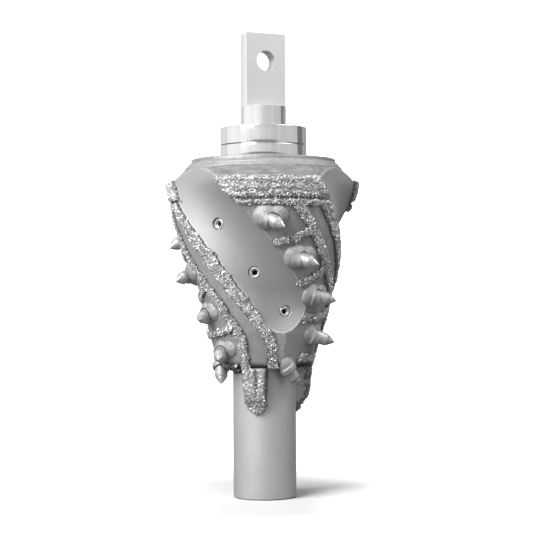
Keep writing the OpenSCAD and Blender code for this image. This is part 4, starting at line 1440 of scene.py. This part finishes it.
class REAMER_OT_studio(bpy.types.Operator):
    """White floor and backdrop, lamps and the camera"""

    bl_idname = "reamer.studio"
    bl_label = "Studio"

    def execute(self, context):
        scene = context.scene
        settings = scene.reamer_studio
        scene.view_settings.view_transform = "Standard"
        sheet = self.floor(settings)
        self.room(scene, settings)
        add_lamp("key lamp", KEY_AT, KEY_SIZE, settings.key)
        # A second lamp in the key lamp's place lights the paper alone and deepens the shadow on it
        paper_lamp = add_lamp("paper lamp", KEY_AT, KEY_SIZE, settings.paper_lamp)
        lit = bpy.data.collections.new("paper")
        lit.objects.link(sheet)
        paper_lamp.light_linking.receiver_collection = lit
        # The side lamp leaves the paper out, so that only one shadow falls on it
        side_lamp = add_lamp("side lamp", SIDE_AT, SIDE_SIZE, settings.side)
        unlit = bpy.data.collections.new("not for the side lamp")
        unlit.objects.link(sheet)
        unlit.collection_objects[0].light_linking.link_state = "EXCLUDE"
        side_lamp.light_linking.receiver_collection = unlit
        self.dark_card()
        self.camera(scene)
        return {"FINISHED"}

    def floor(self, settings):
        mesh = bpy.data.meshes.new("floor")
        # The paper comes forward under the object and curves up behind it
        profile = [(PAPER_FRONT, 0.0), (SWEEP_Y, 0.0)]
        profile += [(SWEEP_Y + SWEEP_R * math.sin(t), SWEEP_R - SWEEP_R * math.cos(t))
                    for t in np.linspace(0.1, math.pi / 2, 14)]
        profile += [(SWEEP_Y + SWEEP_R, WALL_TOP)]
        points = [(x, y, z) for y, z in profile for x in (-PAPER_HALF, PAPER_HALF)]
        faces = [(2 * k, 2 * k + 1, 2 * k + 3, 2 * k + 2) for k in range(len(profile) - 1)]
        mesh.from_pydata(points, [], faces)
        mesh.shade_smooth()
        sheet = bpy.data.objects.new("floor", mesh)
        bpy.context.scene.collection.objects.link(sheet)
        f = Finish("white paper")
        fibre = f.noise(f.place_mm(), 2.0, 2.0, 0.5)
        paper = f.node("ShaderNodeBsdfDiffuse", {}, {"Color": (*settings.paper, 1.0),
                                                     "Normal": f.bump(fibre, 0.02, 0.1)})
        at = f.node("ShaderNodeTexCoord", {}, {}, "Object")
        across = f.node("ShaderNodeSeparateXYZ", {}, {0: at}, 0)
        height = f.node("ShaderNodeSeparateXYZ", {}, {0: at}, 2)
        away = f.node("ShaderNodeVectorMath", {"operation": "LENGTH"}, {0: at}, 1)
        # The paper shows the shadow beside the stem, and painted glow washes it out to plain white farther to
        # the right and all round
        fade = across.spread(0.05, 0.2, settings.glow, 0.8) + away.spread(0.16, 0.4, 0.0, 0.8)
        # Painted glow at the left of the stem lifts the shade there.
        strength = fade + across.spread(-0.1, -0.045, 0.12, 0.0)
        glow = f.node("ShaderNodeEmission", {}, {"Color": WHITE, "Strength": strength})
        bright = f.node("ShaderNodeAddShader", {}, {0: paper, 1: glow})
        # Off camera the floor is a plain grey, and the upright part behind the object has a level of its own
        dull = f.node("ShaderNodeBsdfDiffuse", {}, {"Color": (*settings.floor, 1.0)})
        level = across.spread(0.2, 1.1, 1.0, 0.5) * settings.wall
        light = f.node("ShaderNodeEmission", {}, {"Color": WHITE, "Strength": level})
        wall = f.node("ShaderNodeMixShader", {}, {0: height.spread(0.05, 0.5), 1: dull, 2: light})
        f.output(split_view(f, wall, bright))
        mesh.materials.append(f.block)
        return sheet

    def dark_card(self):
        """A dark card out of the picture at the right, for the band it draws down the turned steel."""
        mesh = bpy.data.meshes.new("dark card")
        mesh.from_pydata(CARD_CORNERS, [], [(0, 1, 2, 3)])
        card = bpy.data.objects.new("dark card", mesh)
        bpy.context.scene.collection.objects.link(card)
        f = Finish("dark card")
        weave = f.noise(f.place_mm(), 2.0, 2.0, 0.5)
        dark = f.node("ShaderNodeBsdfDiffuse", {}, {"Color": (0.12, 0.12, 0.12, 1),
                                                    "Normal": f.bump(weave, 0.05, 0.2)})
        white = f.node("ShaderNodeEmission", {}, {"Color": WHITE, "Strength": 1.0})
        f.output(split_view(f, dark, white))
        mesh.materials.append(f.block)

    def room(self, scene, settings):
        world = bpy.data.worlds.new("room")
        scene.world = world
        f = Finish("room", owner=world)
        at = f.node("ShaderNodeTexCoord", {}, {}, "Generated")
        parts = [f.node("ShaderNodeSeparateXYZ", {}, {0: at}, k) for k in range(3)]
        # Brighter at the left than at the front and the right, and dim overhead
        tilt = parts[0] * -0.5 + parts[1] * -0.06
        level = tilt.spread(-0.12, 0.42, 0.66, 1.12) * parts[2].spread(0.15, 0.85, 1.0, 0.5) * settings.room
        light = f.node("ShaderNodeBackground", {}, {"Color": WHITE, "Strength": level})
        white = f.node("ShaderNodeBackground", {}, {"Color": WHITE, "Strength": 1.0})
        f.node("ShaderNodeOutputWorld", {}, {"Surface": split_view(f, light, white)})

    def camera(self, scene):
        data = bpy.data.cameras.new("camera")
        data.sensor_fit = "HORIZONTAL"
        data.sensor_width = SENSOR_MM
        data.lens = FOCAL_PX / IMAGE_W * SENSOR_MM
        data.clip_end = 50
        camera = bpy.data.objects.new("camera", data)
        scene.collection.objects.link(camera)
        # The tool stands a little left of the middle and leans a quarter of a degree to the left
        yaw = math.atan((IMAGE_W / 2 - AXIS_PX) / FOCAL_PX)
        rise = math.atan((HORIZON_PX - IMAGE_W / 2) / FOCAL_PX)
        lean = -math.atan(LEAN)
        turn = (Matrix.Rotation(-yaw, 4, "Z") @ Matrix.Rotation(math.pi / 2 + rise, 4, "X")
                @ Matrix.Rotation(lean, 4, "Z"))
        camera.matrix_world = Matrix.Translation(Vector(CAMERA_AT)) @ turn
        scene.camera = camera


class REAMER_PT_panel(bpy.types.Panel):
    """Sizes, tones, lamps and the steps that build the reamer's looks"""

    bl_idname = "REAMER_PT_panel"
    bl_label = "Button Reamer"
    bl_space_type = "VIEW_3D"
    bl_region_type = "UI"
    bl_category = "Reamer"

    def draw(self, context):
        column = self.layout.column()
        for group in (context.scene.reamer_sizes, context.scene.reamer_tones, context.scene.reamer_studio):
            for key in group.__annotations__:
                column.prop(group, key)
            column.separator()
        for step in STEPS:
            column.operator(step.bl_idname)


STEPS = (
    REAMER_OT_studio,
    REAMER_OT_cone,
    REAMER_OT_hard_facing,
    REAMER_OT_weld_domes,
    REAMER_OT_buttons,
    REAMER_OT_jets,
    REAMER_OT_crown,
    REAMER_OT_swivel,
    REAMER_OT_solids,
)
GROUPS = (ReamerSizes, ReamerTones, StudioSettings)
CLASSES = GROUPS + STEPS + (REAMER_PT_panel,)


def register():
    for cls in CLASSES:
        bpy.utils.register_class(cls)
    bpy.types.Scene.reamer_sizes = PointerProperty(type=ReamerSizes)
    bpy.types.Scene.reamer_tones = PointerProperty(type=ReamerTones)
    bpy.types.Scene.reamer_studio = PointerProperty(type=StudioSettings)


def unregister():
    del bpy.types.Scene.reamer_studio
    del bpy.types.Scene.reamer_tones
    del bpy.types.Scene.reamer_sizes
    for cls in reversed(CLASSES):
        bpy.utils.unregister_class(cls)


def main():
    register()
    for step in STEPS:
        group, name = step.bl_idname.split(".")
        getattr(getattr(bpy.ops, group), name)()


if __name__ == "__main__":
    main()
